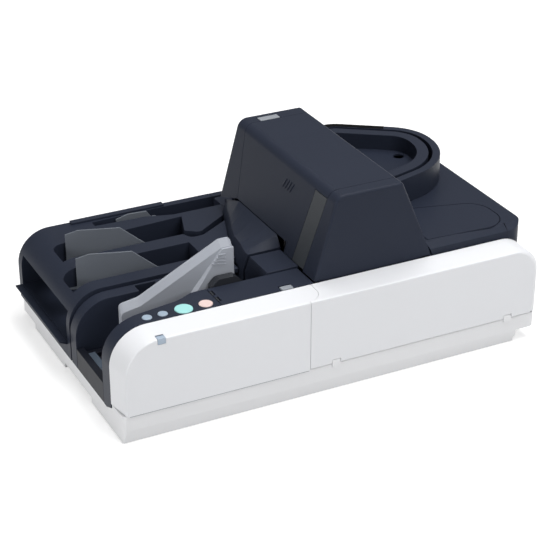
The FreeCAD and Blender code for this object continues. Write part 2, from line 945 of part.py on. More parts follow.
def make_button(label, place, radius):
    """Dished cap with a stem that presses the switch on the panel board."""
    body = new_body(label, place, "strip_front + button_line", "front_top + button_proud")
    cap = getattr(size, radius)
    stem = size.button_stem_radius
    foot = -size.button_height
    profile = [
        (0, foot - size.button_stem_length),
        (stem, foot - size.button_stem_length),
        (stem, foot),
        (cap, foot),
        (cap, 0, size.button_proud),
        (cap - 2 * size.button_proud, 0),
        (0, -size.button_proud / 2),
    ]
    turned(body, profile)
    return body


def make_panel_board():
    body = new_body("panel_board")
    wall = size.wall + size.seam_gap
    left = size.small_button_first - 2 * size.small_button_radius
    right = size.panel_end - wall
    outline = rectangle(left, size.strip_front + wall, right, size.panel_post_back - wall)
    drop = "button_height + button_stem_length + button_travel + board_thickness"
    add(body, "XY", "front_top - (" + drop + ")", "board_thickness", outline)
    return body


# Roller cover and the feeder frame below it
def make_feeder_frame():
    """Tray below the roller cover, with the hump over the retard roller."""
    body = new_body("feeder_frame")
    wall = size.wall
    left = size.roller_cover_start + size.seam_gap
    right = size.roller_cover_end - size.seam_gap
    front = size.strip_front + size.seam_gap
    back = size.roller_cover_back
    add(body, "XY", "chassis_top", "feeder_floor_top - chassis_top",
        rectangle(left, front, right, back))
    add(body, "XY", "feeder_floor_top - wall",
        "front_top - feeder_floor_top - 2 * roller_cover_hinge_radius - running_gap + wall",
        rectangle(left, front, right, front + wall))
    add(body, "XY", "feeder_floor_top - wall",
        "front_top - feeder_floor_top - 2 * roller_cover_hinge_radius - running_gap + wall",
        rectangle(left, back - wall, right, back))
    hump_top = size.front_top + size.hump_rise
    start = size.hump_start
    end = start + size.hump_width
    hump = [
        (start, size.chassis_top),
        (end, size.chassis_top),
        (end, size.front_top),
        (end - size.hump_rise, hump_top, size.hump_rise),
        (start + size.hump_rise, hump_top, size.hump_rise),
        (start, size.front_top),
    ]
    add(body, "XZ", "roller_cover_back", "hump_depth", hump)
    return body


def make_roller_cover(frame):
    body = new_body("roller_cover")
    gap = size.running_gap
    left = size.roller_cover_start
    right = size.roller_cover_end
    front = size.strip_front + gap
    back = size.roller_cover_back - gap
    radius = size.roller_cover_hinge_radius
    plate = rectangle(left, front, right, back)
    add(body, "XY", "front_top - lid_thickness", "lid_thickness", plate)
    inner_front = front + 2 * size.wall
    rib = rectangle(right - size.wall, inner_front, right, back - 2 * size.wall)
    add(body, "XY", "front_top - roller_cover_rim", "roller_cover_rim", rib)
    top = size.front_top
    over = size.overrun
    corner = [
        (left - over, top - radius),
        (left, top - radius),
        (left, top, radius),
        (left + radius, top),
        (left + radius, top + over),
        (left - over, top + over),
    ]
    cut(body, "XZ", "front_depth", "machine_depth", corner)
    knuckle_hinge(
        body, frame, "XZ", left + radius, top - radius, radius,
        "strip_front + running_gap", "roller_cover_back - running_gap",
        ("roller_knuckle_start", "roller_knuckle_pitch"),
        size.feeder_floor_top - size.wall)
    # The latch slides in a slot over the front edge
    start = right - size.latch_inset - size.latch_width - gap
    end = right - size.latch_inset + gap
    slot = rectangle(start, front - over, end, front + size.latch_depth)
    cut(body, "XY", "front_top - lid_thickness - overrun", "2 * overrun + lid_thickness", slot)
    return body


def make_roller_cover_latch():
    body = new_body("roller_cover_latch")
    end = size.roller_cover_end - size.latch_inset
    start = end - size.latch_width
    front = size.strip_front + size.running_gap
    depth = size.latch_depth - 2 * size.button_travel
    outline = rectangle(start, front, end, front + depth)
    add(body, "XY", "front_top - latch_height", "latch_height + button_proud", outline)
    return body


# Feed lane
def make_feed_tray():
    """Lane floor with the raised sill at the left end."""
    body = new_body("feed_tray")
    front = size.panel_post_back + size.seam_gap
    back = size.lane_back - size.seam_gap
    wide_back = size.strip_front + size.panel_wide_depth + size.seam_gap
    step_place = size.panel_bend - 3 * (wide_back - front)
    end = size.platform_left - size.seam_gap
    hump_front = size.roller_cover_back + size.hump_depth + size.seam_gap
    floor = [
        (0, front),
        (step_place, front),
        (size.panel_bend, wide_back),
        (size.hump_start - size.seam_gap, wide_back),
        (size.hump_start - size.seam_gap, hump_front),
        (end, hump_front),
        (end, back),
        (0, back),
    ]
    add(body, "XY", "skirt_bottom", "lane_floor_top - skirt_bottom", floor)
    sill = rectangle(0, front, size.sill_width, back)
    add(body, "XY", "lane_floor_top - wall", "sill_rise + wall", sill)
    well_right = size.sill_width + size.lane_well_width
    well = rectangle(size.sill_width, front + size.sill_width, well_right, back - size.sill_width)
    cut(body, "XY", "lane_floor_top - lane_well_depth", "lane_well_depth + overrun", well)
    # Room for the base tray's rim and the chassis below
    over = size.overrun
    tray = rectangle(size.wall, front - over, end + over, back + over)
    cut(body, "XY", "skirt_bottom - overrun", "side_skirt_drop + seam_gap + overrun", tray)
    # Hole for the feed roller and its opposite
    gap = size.roller_window
    channel = rectangle(
        size.wall_notch_start, size.feed_roller_line - size.pulley_radius - 3 * gap,
        size.machine_length, back + over)
    cut(body, "XY", "skirt_bottom", "lane_floor_top - wall - skirt_bottom", channel)
    place = size.feed_roller_place
    reach = size.feed_roller_radius + gap
    hole = rectangle(
        place - reach, size.retard_roller_line - size.retard_roller_radius - gap,
        size.machine_length, back + over)
    cut(body, "XY", "skirt_bottom", "machine_depth", hole)
    return body


def make_guide_bar():
    body = new_body("lane_guide_bar")
    left = size.sill_width + size.guide_bar_gap
    front = size.arm_front - size.arm_thickness / 2
    back = size.lane_back - size.seam_gap - size.sill_width - size.guide_bar_gap
    outline = rectangle(left, front, left + size.guide_bar_width, back)
    add(body, "XY", "lane_floor_top - lane_well_depth", "lane_well_depth + sill_rise / 2", outline)
    return body


def make_lane_wall():
    """Hollow wall that the cheques stand against, with windows for the rollers."""
    body = new_body("lane_wall")
    end = size.lane_wall_end
    top = size.lane_wall_top
    corner = size.lane_corner
    outer = [
        (0, size.skirt_bottom),
        (size.wall, size.skirt_bottom),
        (size.wall, size.cover_bottom),
        (end, size.cover_bottom),
        (end, top),
        (0, top, corner),
    ]
    add(body, "XZ", "lane_back", "lane_wall_depth", outer)
    wall = size.wall
    over = size.overrun
    hollow = [
        (2 * wall, size.cover_bottom - over),
        (end - wall, size.cover_bottom - over),
        (end - wall, top - wall),
        (2 * wall, top - wall, corner - 2 * wall),
    ]
    cut(body, "XZ", "lane_back + wall", "lane_wall_depth - 2 * wall", hollow)
    notch_left = size.wall_notch_start
    notch_right = notch_left + size.wall_notch_width
    notch = [
        (notch_left, top - size.wall_notch_depth),
        (notch_right, top - size.wall_notch_depth),
        (notch_right, top + over),
        (notch_left, top + over),
    ]
    cut(body, "XZ", "lane_back - overrun", "lane_wall_depth + overrun - wall", notch)
    channel = rectangle(notch_left, size.cover_bottom - over, size.machine_length,
                        size.lane_floor_top - wall)
    cut(body, "XZ", "lane_back - overrun", "lane_wall_depth + overrun - wall", channel)
    reach = size.feed_roller_radius + size.roller_window
    place = size.feed_roller_place
    window = rectangle(place - reach, size.cover_bottom - over, size.machine_length, top - 2 * wall)
    cut(body, "XZ", "lane_back - overrun", "lane_wall_depth + overrun - wall", window)
    return body


# Feed press arm
def arm_profile(drop=0):
    """Side view of the arm, from its pivot end to the tall tip, with its top edge lowered."""
    left = size.arm_left
    right = left + size.arm_length
    foot = size.lane_floor_top + size.arm_foot_gap
    tip = size.front_top + size.arm_tip_rise - drop
    knee = size.front_top - size.arm_knee_drop - drop
    width = size.arm_tip_width
    return [
        (left, foot),
        (right - 2 * width, foot),
        (right, size.front_top),
        (right, tip, size.arm_bevel),
        (right - width, tip, size.arm_bevel),
        (left + size.arm_knee, knee, size.arm_knee),
        (left, knee - size.arm_knee_drop, size.arm_bevel),
    ]


def make_feed_press_arm():
    body = new_body("feed_press_arm")
    loft(body, "XZ", [("arm_front", arm_profile(size.arm_chamfer)),
                      ("arm_front + arm_chamfer_depth", arm_profile()),
                      ("arm_front + arm_thickness", arm_profile())])
    # Flared grip at the tall end with four finger ridges
    right = size.arm_left + size.arm_length
    tip = size.front_top + size.arm_tip_rise
    front = size.arm_front

    def grip(depth, width):
        near = front - depth
        return [(right - width, front), (right, near), (right, front + size.wall),
                (right - width, front + size.wall)]

    low_level = "front_top + arm_tip_rise - grip_height"
    high_level = "front_top + arm_tip_rise - arm_chamfer - arm_bevel"
    loft(body, "XY", [(low_level, grip(size.grip_depth, size.grip_width)),
                      (high_level, grip(size.ridge_height / 2, size.arm_tip_width))])
    ridge_pitch = 3 * size.ridge_width
    for index in range(4):
        level = tip - size.arm_chamfer - size.arm_tip_width - index * ridge_pitch / 2
        inner = right - size.arm_tip_width - index * size.ridge_width
        ridge = [
            (inner, level - size.ridge_height / 2),
            (right - size.ridge_width, level - size.ridge_height / 2),
            (right - size.ridge_width, level + size.ridge_height / 2),
            (inner, level + size.ridge_height / 2),
        ]
        add(body, "XZ", "arm_front - grip_depth / 2 - ridge_height / 2", "grip_depth / 2", ridge)
    # Bore for the pivot pin
    bore = circle(size.arm_pivot_place, front + size.arm_thickness / 2,
                  size.arm_pin_radius + size.pin_clearance)
    cut(body, "XY", "lane_floor_top", "cover_height / 2", bore)
    return body


def make_arm_pivot_pin():
    body = new_body("arm_pivot_pin")
    pin = circle(size.arm_pivot_place, size.arm_front + size.arm_thickness / 2,
                 size.arm_pin_radius)
    add(body, "XY", "lane_floor_top", "cover_height / 2 - arm_foot_gap", pin)
    return body


# Stacker
def block_face():
    """Plan points of the foot of the entrance block's left face, from front to back."""
    left = size.platform_left
    back = size.rear_hinge_line - size.rear_hinge_radius - size.running_gap
    start = size.stacker_front
    run = back - start
    lean = size.head_left - left
    shares = ((0, 0.1), (0.25, 0.28), (0.5, 0.48), (0.66, 0.63), (1, 0.92))
    return [(left + lean * across, start + run * along) for along, across in shares]


def make_stacker_cover():
    """Arched cover over the stacker, cut by three pockets and their entry slots."""
    body = new_body("stacker_cover")
    gap = size.seam_gap
    face = [(x - gap, y) for x, y in block_face()]
    back = size.machine_depth
    right = size.rear_cover_left - gap
    over = size.overrun
    profile = [
        (0, size.skirt_bottom),
        (right, size.skirt_bottom),
        (right, size.stacker_top),
        (0, size.stacker_top, size.stacker_corner),
    ]
    add(body, "XZ", "stacker_front", "machine_depth - stacker_front", profile)
    beside = [(face[0][0], size.stacker_front - over)] + face + [
        (right + over, face[-1][1]),
        (right + over, size.stacker_front - over),
    ]
    cut(body, "XY", "0", "machine_depth", beside)
    # Everything but the side skirt stops at the base tray's rim
    tray = rectangle(size.wall, size.stacker_front - over, size.machine_length, back + over)
    cut(body, "XY", "skirt_bottom - overrun", "side_skirt_drop + seam_gap + overrun", tray)
    # Opening at the left end below the arch
    exit_right = size.middle_pocket_start + size.pocket_depth
    exit_top = size.pocket_floor_top + size.exit_height
    tunnel = rectangle(-over, size.pocket_floor_top, exit_right, exit_top)
    cut(body, "XZ", "exit_front", "exit_back - exit_front", tunnel)
    # Pockets and their entry slots
    pockets = [front_pocket(), middle_pocket(), rear_pocket()]
    for pocket in pockets:
        cut(body, "XY", "pocket_floor_top", "machine_depth", pocket)
    for slot in (entry_slot(size.middle_pocket_near), entry_slot(size.front_pocket_near)):
        cut(body, "XY", "pocket_floor_top", "machine_depth", slot)
    # Raised bar along the back edge
    bar = rectangle(size.back_bar_start, back - size.back_bar_depth, size.back_bar_end, back)
    add(body, "XY", "stacker_top - wall", "wall + back_bar_rise", bar)
    return body


def front_pocket():
    near = size.front_pocket_near
    far = near + size.pocket_depth
    start = size.front_pocket_start
    end = size.front_pocket_end
    nose = size.pocket_depth / 4
    return [(start, near), (end - nose, near), (end, near + nose, nose / 2),
            (end, far), (start, far, nose)]


def middle_pocket():
    near = size.middle_pocket_near
    far = near + size.pocket_depth
    start = size.middle_pocket_start
    end = size.front_pocket_end
    lean = size.pocket_depth / 4
    return [(start, near), (end + lean / 2, near), (end + 2 * lean, far + lean / 2),
            (start + size.pocket_depth * 2, far), (start, far, lean)]


def rear_pocket():
    """Narrow pocket that widens into the mouth of the return track."""
    near = size.rear_pocket_near
    end = size.rear_cover_left + size.overrun
    mouth = size.rear_slot_front - size.middle_pocket_near
    bend = size.front_pocket_end
    mouth_near = size.middle_pocket_near + mouth * 0.72
    return [
        (size.rear_pocket_start, near),
        (bend - size.pocket_depth / 2, near - size.wall),
        (bend + size.pocket_depth / 3, mouth_near),
        (end, mouth_near),
        (end, size.track_mouth_far),
        (bend, size.track_mouth_far),
        (size.rear_pocket_start, size.rear_pocket_far),
    ]


def entry_slot(near):
    """Slanted slot that leads from under the entrance block into a pocket."""
    width = size.entry_slot_width
    start = size.front_pocket_end
    reach = size.head_left - start
    if near == size.front_pocket_near:
        start = start - size.entry_slot_width
        reach = reach * 2 / 3
    return [
        (start, near + width / 2),
        (start + width, near - 1.6 * width, width),
        (start + 3 * width, near - 1.6 * width, width),
        (start + reach, near + 2.6 * width),
        (start + reach, near + 4.2 * width),
        (start + 3 * width, near - width / 2, width),
        (start + width, near + width),
    ]


def make_exit_ledge():
    """Lip that carries the ends of the cheques past the left end."""
    body = new_body("exit_ledge")
    thick = size.ledge_thickness
    top = size.pocket_floor_top - size.seam_gap
    lip = [
        (-size.ledge_overhang, top - thick / 2),
        (0, top - 2 * thick),
        (0, top),
        (-size.ledge_overhang, top),
    ]
    add(body, "XZ", "exit_front", "exit_back - exit_front", lip)
    return body


def make_press_plate(label, pivot_x, pivot_y, length, rise, swing):
    """Plate that holds the cheques against the far wall; it turns about its right end.

    Drawn along -X from the pivot, then turned so that its free end rests by the far wall.
    """
    level = "pocket_floor_top + plate_floor_gap"
    body = new_body(label, pivot_x, pivot_y, level)
    reach = getattr(size, length)
    angle = math.degrees(math.asin(getattr(size, swing) / reach))
    body.Placement = FreeCAD.Placement(
        body.Placement.Base, FreeCAD.Rotation(UP, -angle))
    tall = size.stacker_top + getattr(size, rise) - size.pocket_floor_top - size.plate_floor_gap
    slant = size.plate_slant * getattr(size, rise) / size.plate_rise
    low = tall - getattr(size, rise) - size.plate_nick_height
    profile = [
        (-reach, 0),
        (0, 0),
        (0, low),
        (-slant / 2, low),
        (-slant / 2 - slant, tall),
        (-reach + size.plate_nick, tall, size.plate_nick_height),
        (-reach, tall - size.plate_nick_height),
    ]
    add(body, "XZ", "-(plate_thickness / 2)", "plate_thickness", profile)
    barrel = circle(0, 0, size.plate_barrel_radius)
    add(body, "XY", "0", "stacker_top - pocket_floor_top - plate_floor_gap - plate_nick_height",
        barrel)
    bore = circle(0, 0, size.plate_pin_radius + size.pin_clearance)
    cut(body, "XY", "-overrun", "machine_depth", bore)
    return body


PRESS_PLATES = (
    ("press_plate_front", "front_plate_pivot", "front_pocket_near + plate_pivot_inset",
     "plate_length", "plate_rise", "plate_swing_depth"),
    ("press_plate_middle", "middle_plate_pivot", "middle_pocket_near + plate_pivot_inset",
     "plate_length", "plate_rise", "plate_swing_depth"),
    ("press_plate_rear", "rear_plate_pivot", "rear_pocket_near + plate_barrel_radius",
     "rear_plate_length", "rear_plate_rise", "rear_plate_swing_depth"),
)


def make_plate_pins():
    body = new_body("plate_pins")
    pins = []
    for _, pivot_x, pivot_y, _, _, _ in PRESS_PLATES:
        first, second = pivot_y.split(" + ")
        pins.append(circle(getattr(size, pivot_x), getattr(size, first) + getattr(size, second),
                           size.plate_pin_radius))
    add(body, "XY", "pocket_floor_top", "(stacker_top - pocket_floor_top) * 3 / 4", *pins)
    return body


# Entrance between the lane and the head
def make_entrance_platform():
    body = new_body("entrance_platform")
    left = size.platform_left
    right = size.head_left - size.wall
    top = size.platform_top
    profile = [
        (left, size.chassis_top),
        (right, size.chassis_top),
        (right, top),
        (left + size.platform_lean, top),
        (left, size.stacker_top),
    ]
    add(body, "XZ", "roller_cover_back + seam_gap",
        "slot_front - roller_cover_back - seam_gap", profile)
    return body


def make_entrance_block():
    """Sloped block that rises from the pockets to the foot of the head."""
    body = new_body("entrance_block")
    right = size.head_left - size.seam_gap
    crest = size.block_top
    fold_rise = size.platform_top - size.stacker_top
    face = block_face()
    left_front = (size.platform_left, size.slot_back)
    ramp_end = (size.platform_left, size.slot_back + size.block_ramp)
    folds = [
        (left_front, fold_rise, size.platform_top + size.seam_gap),
        (ramp_end, fold_rise, crest),
        (face[0], fold_rise, crest),
        (face[1], fold_rise * 2 / 3, crest),
        (face[2], fold_rise * 2 / 3, crest),
        (face[3], fold_rise * 2 / 3, crest),
        (face[4], fold_rise * 2 / 3, size.front_top),
    ]
    sections = []
    for (x, y), rise, top in folds:
        lean = size.platform_lean * rise / fold_rise
        loop = [
            (x, size.chassis_top),
            (right, size.chassis_top),
            (right, top),
            (x + lean, size.stacker_top + rise),
            (x, size.stacker_top),
        ]
        sections.append((y, loop))
    sketches = []
    for y, loop in sections:
        sketch = sketch_on(body, "XZ", "0", [loop])
        sketch.setExpression("AttachmentOffset.Base.z", None)
        sketch.AttachmentOffset = FreeCAD.Placement(
            FreeCAD.Vector(0, 0, -y), FreeCAD.Rotation())
        sketches.append(sketch)
    feature = body.newObject("PartDesign::AdditiveLoft", "entrance_block_loft")
    feature.Profile = sketches[0]
    feature.Sections = sketches[1:]
    feature.Ruled = True
    body.Tip = feature
    return body


# Head
def head_left_at(level):
    return size.head_left + size.head_left_slope_share * (level - size.deck_top)


def head_right_at(level):
    return size.head_right - size.head_right_slope_share * (level - size.deck_top)


def head_profile(bottom, by=0):
    """Front view of the head: leaning sides and rounded shoulders, inset by a distance."""
    top = size.head_top
    corners = [
        (head_left_at(bottom), bottom),
        (head_right_at(bottom), bottom),
        (head_right_at(top), top, size.head_right_corner),
        (head_left_at(top), top, size.head_left_corner),
    ]
    if not by:
        return corners
    return inset(corners, [0, by, by, by])


def head_hollow(bottom):
    """The inside of the head's shell, open at the bottom."""
    return head_profile(bottom - size.overrun, size.wall)


def leaning_region(shift, side):
    """Side view of what lies beyond the leaning seam of the left face, moved back by shift."""
    bottom = size.head_front_bottom
    top = size.head_top
    over = size.overrun
    foot = size.trim_front_foot + shift
    cap = size.head_seam + shift
    region = [(foot, bottom - over), (side, bottom - over), (side, top + over),
              (cap, top + over), (cap, top), (foot, bottom)]
    return region if side > foot else region[::-1]


def make_head_front_cover():
    body = new_body("head_front_cover")
    bottom = size.head_skirt_bottom
    add(body, "XZ", "head_front", "trim_front_foot + wall - head_front", head_profile(bottom))
    near = size.pin_clearance
    front = size.head_front
    round_edges(body, "head_front_edge",
                lambda p: abs(p.y - front) < near and p.z > bottom + near)
    cut(body, "XZ", "head_front + wall", "machine_depth", head_hollow(bottom))
    over = size.overrun
    # Straight seam on the top and the right, leaning seam on the left
    seam = size.head_seam
    middle = (head_left_at(size.head_top) + size.head_left_corner)
    right = rectangle(middle, seam, size.machine_length, size.machine_depth)
    cut(body, "XY", "head_skirt_bottom - overrun", "machine_depth", right)
    left = leaning_region(0, size.machine_depth)
    cut(body, "YZ", "head_left - machine_depth / 4", "machine_depth / 2", left)
    # Leg that stands on the chassis behind the white front
    leg = rectangle(size.head_left + 2 * size.wall, size.chassis_top,
                    size.head_right - 3 * size.wall, bottom + size.wall)
    add(body, "XZ", "head_front + seam_gap", "wall", leg)
    return body


def make_head_trim_strip():
    body = new_body("head_trim_strip")
    bottom = size.head_front_bottom
    add(body, "XZ", "head_seam - wall", "trim_front_foot + trim_width - head_seam + wall",
        head_profile(bottom))
    cut(body, "XZ", "head_seam - 2 * wall", "machine_depth", head_hollow(bottom))
    gap = size.seam_gap
    over = size.overrun
    top = size.head_top
    cap = top - size.trim_top_drop
    cut(body, "YZ", "0", "machine_length", leaning_region(gap, -over))
    behind = leaning_region(size.trim_width - gap, size.machine_depth)
    cut(body, "YZ", "0", "machine_length", behind)
    above = rectangle(-over, cap, size.machine_depth, top + over)
    cut(body, "YZ", "0", "machine_length", above)
    middle = (size.head_left + size.head_right) / 2
    cut(body, "XY", "0", "2 * head_top",
        rectangle(middle, -over, size.machine_length, size.machine_depth))
    return body


def make_head_main_cover(deck):
    body = new_body("head_main_cover")
    bottom = size.head_front_bottom
    add(body, "XZ", "head_seam + seam_gap", "rear_seam_top - head_seam - seam_gap",
        head_profile(bottom))
    cut(body, "XZ", "head_seam - overrun", "machine_depth", head_hollow(bottom))
    gap = size.running_gap
    over = size.overrun
    top = size.head_top
    foot = size.head_bottom
    # Leaning rear seam
    lean = [
        (size.rear_seam_foot, bottom - over),
        (size.machine_depth, bottom - over),
        (size.machine_depth, top + over),
        (size.rear_seam_top, top + over),
        (size.rear_seam_top, top),
        (size.rear_seam_foot, size.deck_top),
    ]
    cut(body, "YZ", "0", "machine_length", lean)
    # Room for the trim strip on the left side
    middle = head_left_at(top) + size.head_left_corner
    cap = top - size.trim_top_drop + gap
    left_side = ("head_left - machine_depth / 4", "machine_depth / 4 + head_left_corner * 2.5")
    cut(body, "YZ", *left_side, leaning_region(gap, -over))
    corner_share = (top - cap) / (top - bottom)
    lean_back = (size.trim_front_foot - size.head_seam) * corner_share
    room = [
        (-over, bottom - over),
        (size.trim_front_foot + size.trim_width, bottom - over),
        (size.trim_front_foot + size.trim_width, bottom),
        (size.head_seam + size.trim_width + lean_back, cap),
        (-over, cap),
    ]
    cut(body, "YZ", "head_left - machine_depth / 4", "machine_depth / 2", room)
    # The foot steps up over the entrance block and the deck
    step = rectangle(size.slot_front - size.trim_width / 3, bottom - over,
                     size.machine_depth, foot)
    cut(body, "YZ", "0", "machine_length", step)
    right_foot = rectangle(middle, -over, size.machine_length, size.machine_depth)
    cut(body, "XY", "head_front_bottom - overrun", "deck_top + running_gap - head_front_bottom + overrun",
        right_foot)
    # Finger grip ribs high on the left side
    level = size.head_bottom + (top - foot) * 3 / 4
    for index in range(4):
        near = size.slot_back + index * size.grip_rib_pitch
        rib = [
            (near, level),
            (near + size.grip_rib_width, level),
            (near + size.grip_rib_width + size.grip_rib_pitch, level - size.grip_rib_pitch * 2),
            (near + size.grip_rib_pitch, level - size.grip_rib_pitch * 2),
        ]
        add(body, "YZ", "head_left + grip_rib_length / 2", "grip_rib_length", rib)
    shade = head_profile(bottom, size.wall)
    cut(body, "XZ", "slot_front", "grip_rib_length * 2", shade)
    skin = [
        (head_left_at(bottom) - over, bottom),
        (head_left_at(bottom) - size.grip_rib_height, bottom),
        (head_left_at(top) - size.grip_rib_height, top),
        (head_left_at(top) - over, top),
    ]
    cut(body, "XZ", "slot_front", "grip_rib_length * 2", skin)
    # Hinge along the foot of the right side, whose heel is round about the axis
    radius = size.main_hinge_radius
    u = head_right_at(size.head_bottom) - radius
    heel = [
        (u + radius + over, foot - over),
        (u + radius + over, foot + radius),
        (u + radius, foot + radius),
        (u + radius, foot, radius),
        (u, foot),
        (u, foot - over),
    ]
    cut(body, "XZ", "0", "machine_depth", heel)
    knuckle_hinge(
        body, deck, "XZ", u, size.main_hinge_level, radius,
        "head_seam + wall", "rear_seam_foot - running_gap",
        ("main_knuckle_start", "main_knuckle_pitch"), size.deck_top - size.deck_wall)
    return body


def make_head_rear_cover(track_cover):
    body = new_body("head_rear_cover")
    bottom = size.front_top + size.running_gap
    add(body, "XZ", "rear_seam_foot", "head_back - rear_seam_foot", head_profile(bottom))
    near = size.pin_clearance
    back = size.head_back
    round_edges(body, "head_front_edge",
                lambda p: abs(p.y - back) < near and p.z > bottom + near)
    cut(body, "XZ", "rear_seam_foot - overrun",
        "head_back - rear_seam_foot + overrun - wall", head_hollow(bottom))
    gap = size.running_gap
    over = size.overrun
    top = size.head_top
    lean = [
        (0, size.head_bottom - over),
        (size.rear_seam_foot + gap, size.head_bottom - over),
        (size.rear_seam_foot + gap, size.deck_top),
        (size.rear_seam_top + gap, top),
        (size.rear_seam_top + gap, top + over),
        (0, top + over),
    ]
    cut(body, "YZ", "0", "machine_length", lean)
    # The side walls follow the falling crest of the entrance block
    falling = [
        (0, bottom - over),
        (size.head_back, bottom - over),
        (size.head_back, bottom),
        (size.rear_seam_foot + gap, size.head_bottom),
        (0, size.head_bottom),
    ]
    cut(body, "YZ", "0", "machine_length", falling)
    beside_deck = rectangle(size.head_right - 2 * size.wall, 0,
                            size.machine_length, size.machine_depth)
    cut(body, "XY", "front_top - overrun", "head_bottom - front_top + overrun", beside_deck)
    # The foot of the back wall is round about the hinge axis
    radius = size.rear_hinge_radius
    heel = [
        (back + over, bottom - over),
        (back + over, bottom + radius),
        (back, bottom + radius),
        (back, bottom, radius),
        (back - radius, bottom),
        (back - radius, bottom - over),
    ]
    cut(body, "YZ", "0", "machine_length", heel)
    knuckle_hinge(
        body, track_cover, "YZ", size.rear_hinge_line, size.rear_hinge_level, radius,
        "head_left + head_left_corner", "head_right - head_left_corner",
        ("rear_knuckle_start", "rear_knuckle_pitch"), size.front_top - size.wall)
    # Slot for the latch
    start = size.head_latch_start - gap
    end = size.head_latch_start + size.head_latch_width + gap
    slot = rectangle(start, size.rear_seam_top - over,
                     end, size.rear_seam_top + gap + size.head_latch_depth + gap)
    cut(body, "XY", "head_top - head_latch_height", "head_latch_height + overrun", slot)
    return body


def make_head_latch():
    body = new_body("head_latch")
    start = size.head_latch_start
    front = size.rear_seam_top + 2 * size.running_gap
    outline = rectangle(start, front, start + size.head_latch_width,
                        front + size.head_latch_depth - size.button_travel)
    add(body, "XY", "head_top - head_latch_height", "head_latch_height + button_proud / 2",
        outline)
    return body


# Right deck
def lid_outline(outset=0):
    """Plan of the D-shaped lid, straight at the hinge and rounded at the nose."""
    corners = [
        (size.lid_left, size.lid_front),
        (size.lid_right, size.lid_front - size.deck_wall, size.lid_front_corner),
        (size.lid_right, size.deck_wall + size.lid_front - size.deck_wall * 2
         + size.lid_nose_rise, size.lid_back_corner),
        (size.lid_left, size.lid_back),
    ]
    return inset(corners, -outset) if outset else corners


def turn_path():
    """Plan of the U-turn: in at the front left, round the nose and out along the back."""
    left = size.turn_left
    nose = size.turn_nose
    front = size.turn_front
    back = size.machine_depth
    nose_front = front + size.turn_slope_share * (nose - left)
    return [
        (left, front),
        (nose, nose_front, size.turn_nose_front_radius),
        (nose, size.turn_nose_back, size.turn_nose_back_radius),
        (nose - size.turn_back_reach, back, size.turn_back_radius),
        (left, back),
    ]


def turn_band(outer, inner):
    """U-shaped band between two depths inside the turn's outer edge."""
    far = inset(turn_path(), [outer, outer, outer, outer, 0])
    near = inset(turn_path(), [inner, inner, inner, inner, 0])
    return far + near[::-1]


def make_right_deck():
    body = new_body("right_deck")
    left = size.deck_left
    right = size.machine_length
    front = size.head_front
    back = size.machine_depth
    outline = [
        (left, front),
        (right, front, size.deck_corner),
        (right, back, size.deck_back_corner),
        (left, back),
    ]
    add(body, "XY", "base_height", "deck_top - base_height", outline)
    over = size.overrun
    wall = size.wall
    # Shelf under the hinge of the head
    shelf = rectangle(left - size.hinge_shelf, size.head_seam + wall,
                      left + wall, size.rear_seam_foot)
    add(body, "XY", "deck_top - deck_wall", "deck_wall", shelf)
    # Sloped shoulder behind the white front
    slope = [
        (front - over, size.deck_top - size.shoulder_height),
        (front, size.deck_top - size.shoulder_height),
        (front + size.shoulder_depth, size.deck_top),
        (front + size.shoulder_depth, size.deck_top + over),
        (front - over, size.deck_top + over),
    ]
    cut(body, "YZ", "0", "2 * machine_length", slope)
    # Room for the leaning right side of the head's front cover
    gap = size.running_gap
    low = size.front_top + gap
    high = size.deck_top + over
    beside_head = [
        (left - size.hinge_shelf - over, low),
        (head_right_at(low) + gap, low),
        (head_right_at(high) + gap, high),
        (left - size.hinge_shelf - over, high),
    ]
    cut(body, "XZ", "head_front - overrun", "head_seam + running_gap - head_front + overrun",
        beside_head)
    hollow = inset(outline, [2 * wall, wall, wall, wall])
    cut(body, "XY", "base_height - overrun", "deck_top - base_height - deck_wall + overrun", hollow)
    # Seat and opening for the lid
    cut(body, "XY", "deck_top - 2 * lid_hinge_radius - running_gap", "overrun * 2",
        lid_outline(size.lid_gap))
    cut(body, "XY", "deck_top - deck_wall - overrun", "deck_wall + 2 * overrun",
        inset(lid_outline(), size.lid_ledge))
    # Opening for the U-turn's liners
    reach = size.rim_width - size.liner - size.seam_gap
    opening = inset(turn_path(), [reach, reach, reach, reach, -size.seam_gap])
    cut(body, "XY", "deck_top - deck_wall - overrun", "deck_wall + 2 * overrun", opening)
    through = rectangle(left - over, size.rear_slot_front, left + 2 * wall,
                        size.rear_slot_back)
    cut(body, "XY", "pocket_floor_top", "deck_top", through)
    entry = rectangle(left - size.hinge_shelf - over, size.track_exit_line - size.turn_slot,
                      left + 2 * wall, size.track_exit_line + size.turn_slot)
    cut(body, "XY", "pocket_floor_top", "deck_top", entry)
    return body


def make_deck_lid(deck):
    body = new_body("deck_lid")
    add(body, "XY", "deck_top - lid_thickness", "lid_thickness", lid_outline())
    radius = size.lid_hinge_radius
    left = size.lid_left
    top = size.deck_top
    over = size.overrun
    corner = [
        (left - over, top - radius),
        (left, top - radius),
        (left, top, radius),
        (left + radius, top),
        (left + radius, top + over),
        (left - over, top + over),
    ]
    cut(body, "XZ", "0", "machine_depth", corner)
    knuckle_hinge(
        body, deck, "XZ", left + radius, top - radius, radius,
        "lid_front + running_gap", "lid_back - 2 * lid_hinge_radius",
        ("lid_knuckle_start", "lid_knuckle_pitch"), size.deck_top - size.deck_wall)
    return body


def make_turn_wall():
    """Outer rim of the U-turn with its liner down to the chassis."""
    body = new_body("turn_outer_wall")
    add(body, "XY", "deck_top", "rim_rise", turn_band(0, size.rim_width))
    add(body, "XY", "chassis_top", "deck_top - chassis_top",
        turn_band(size.rim_width - size.liner, size.rim_width))
    return body


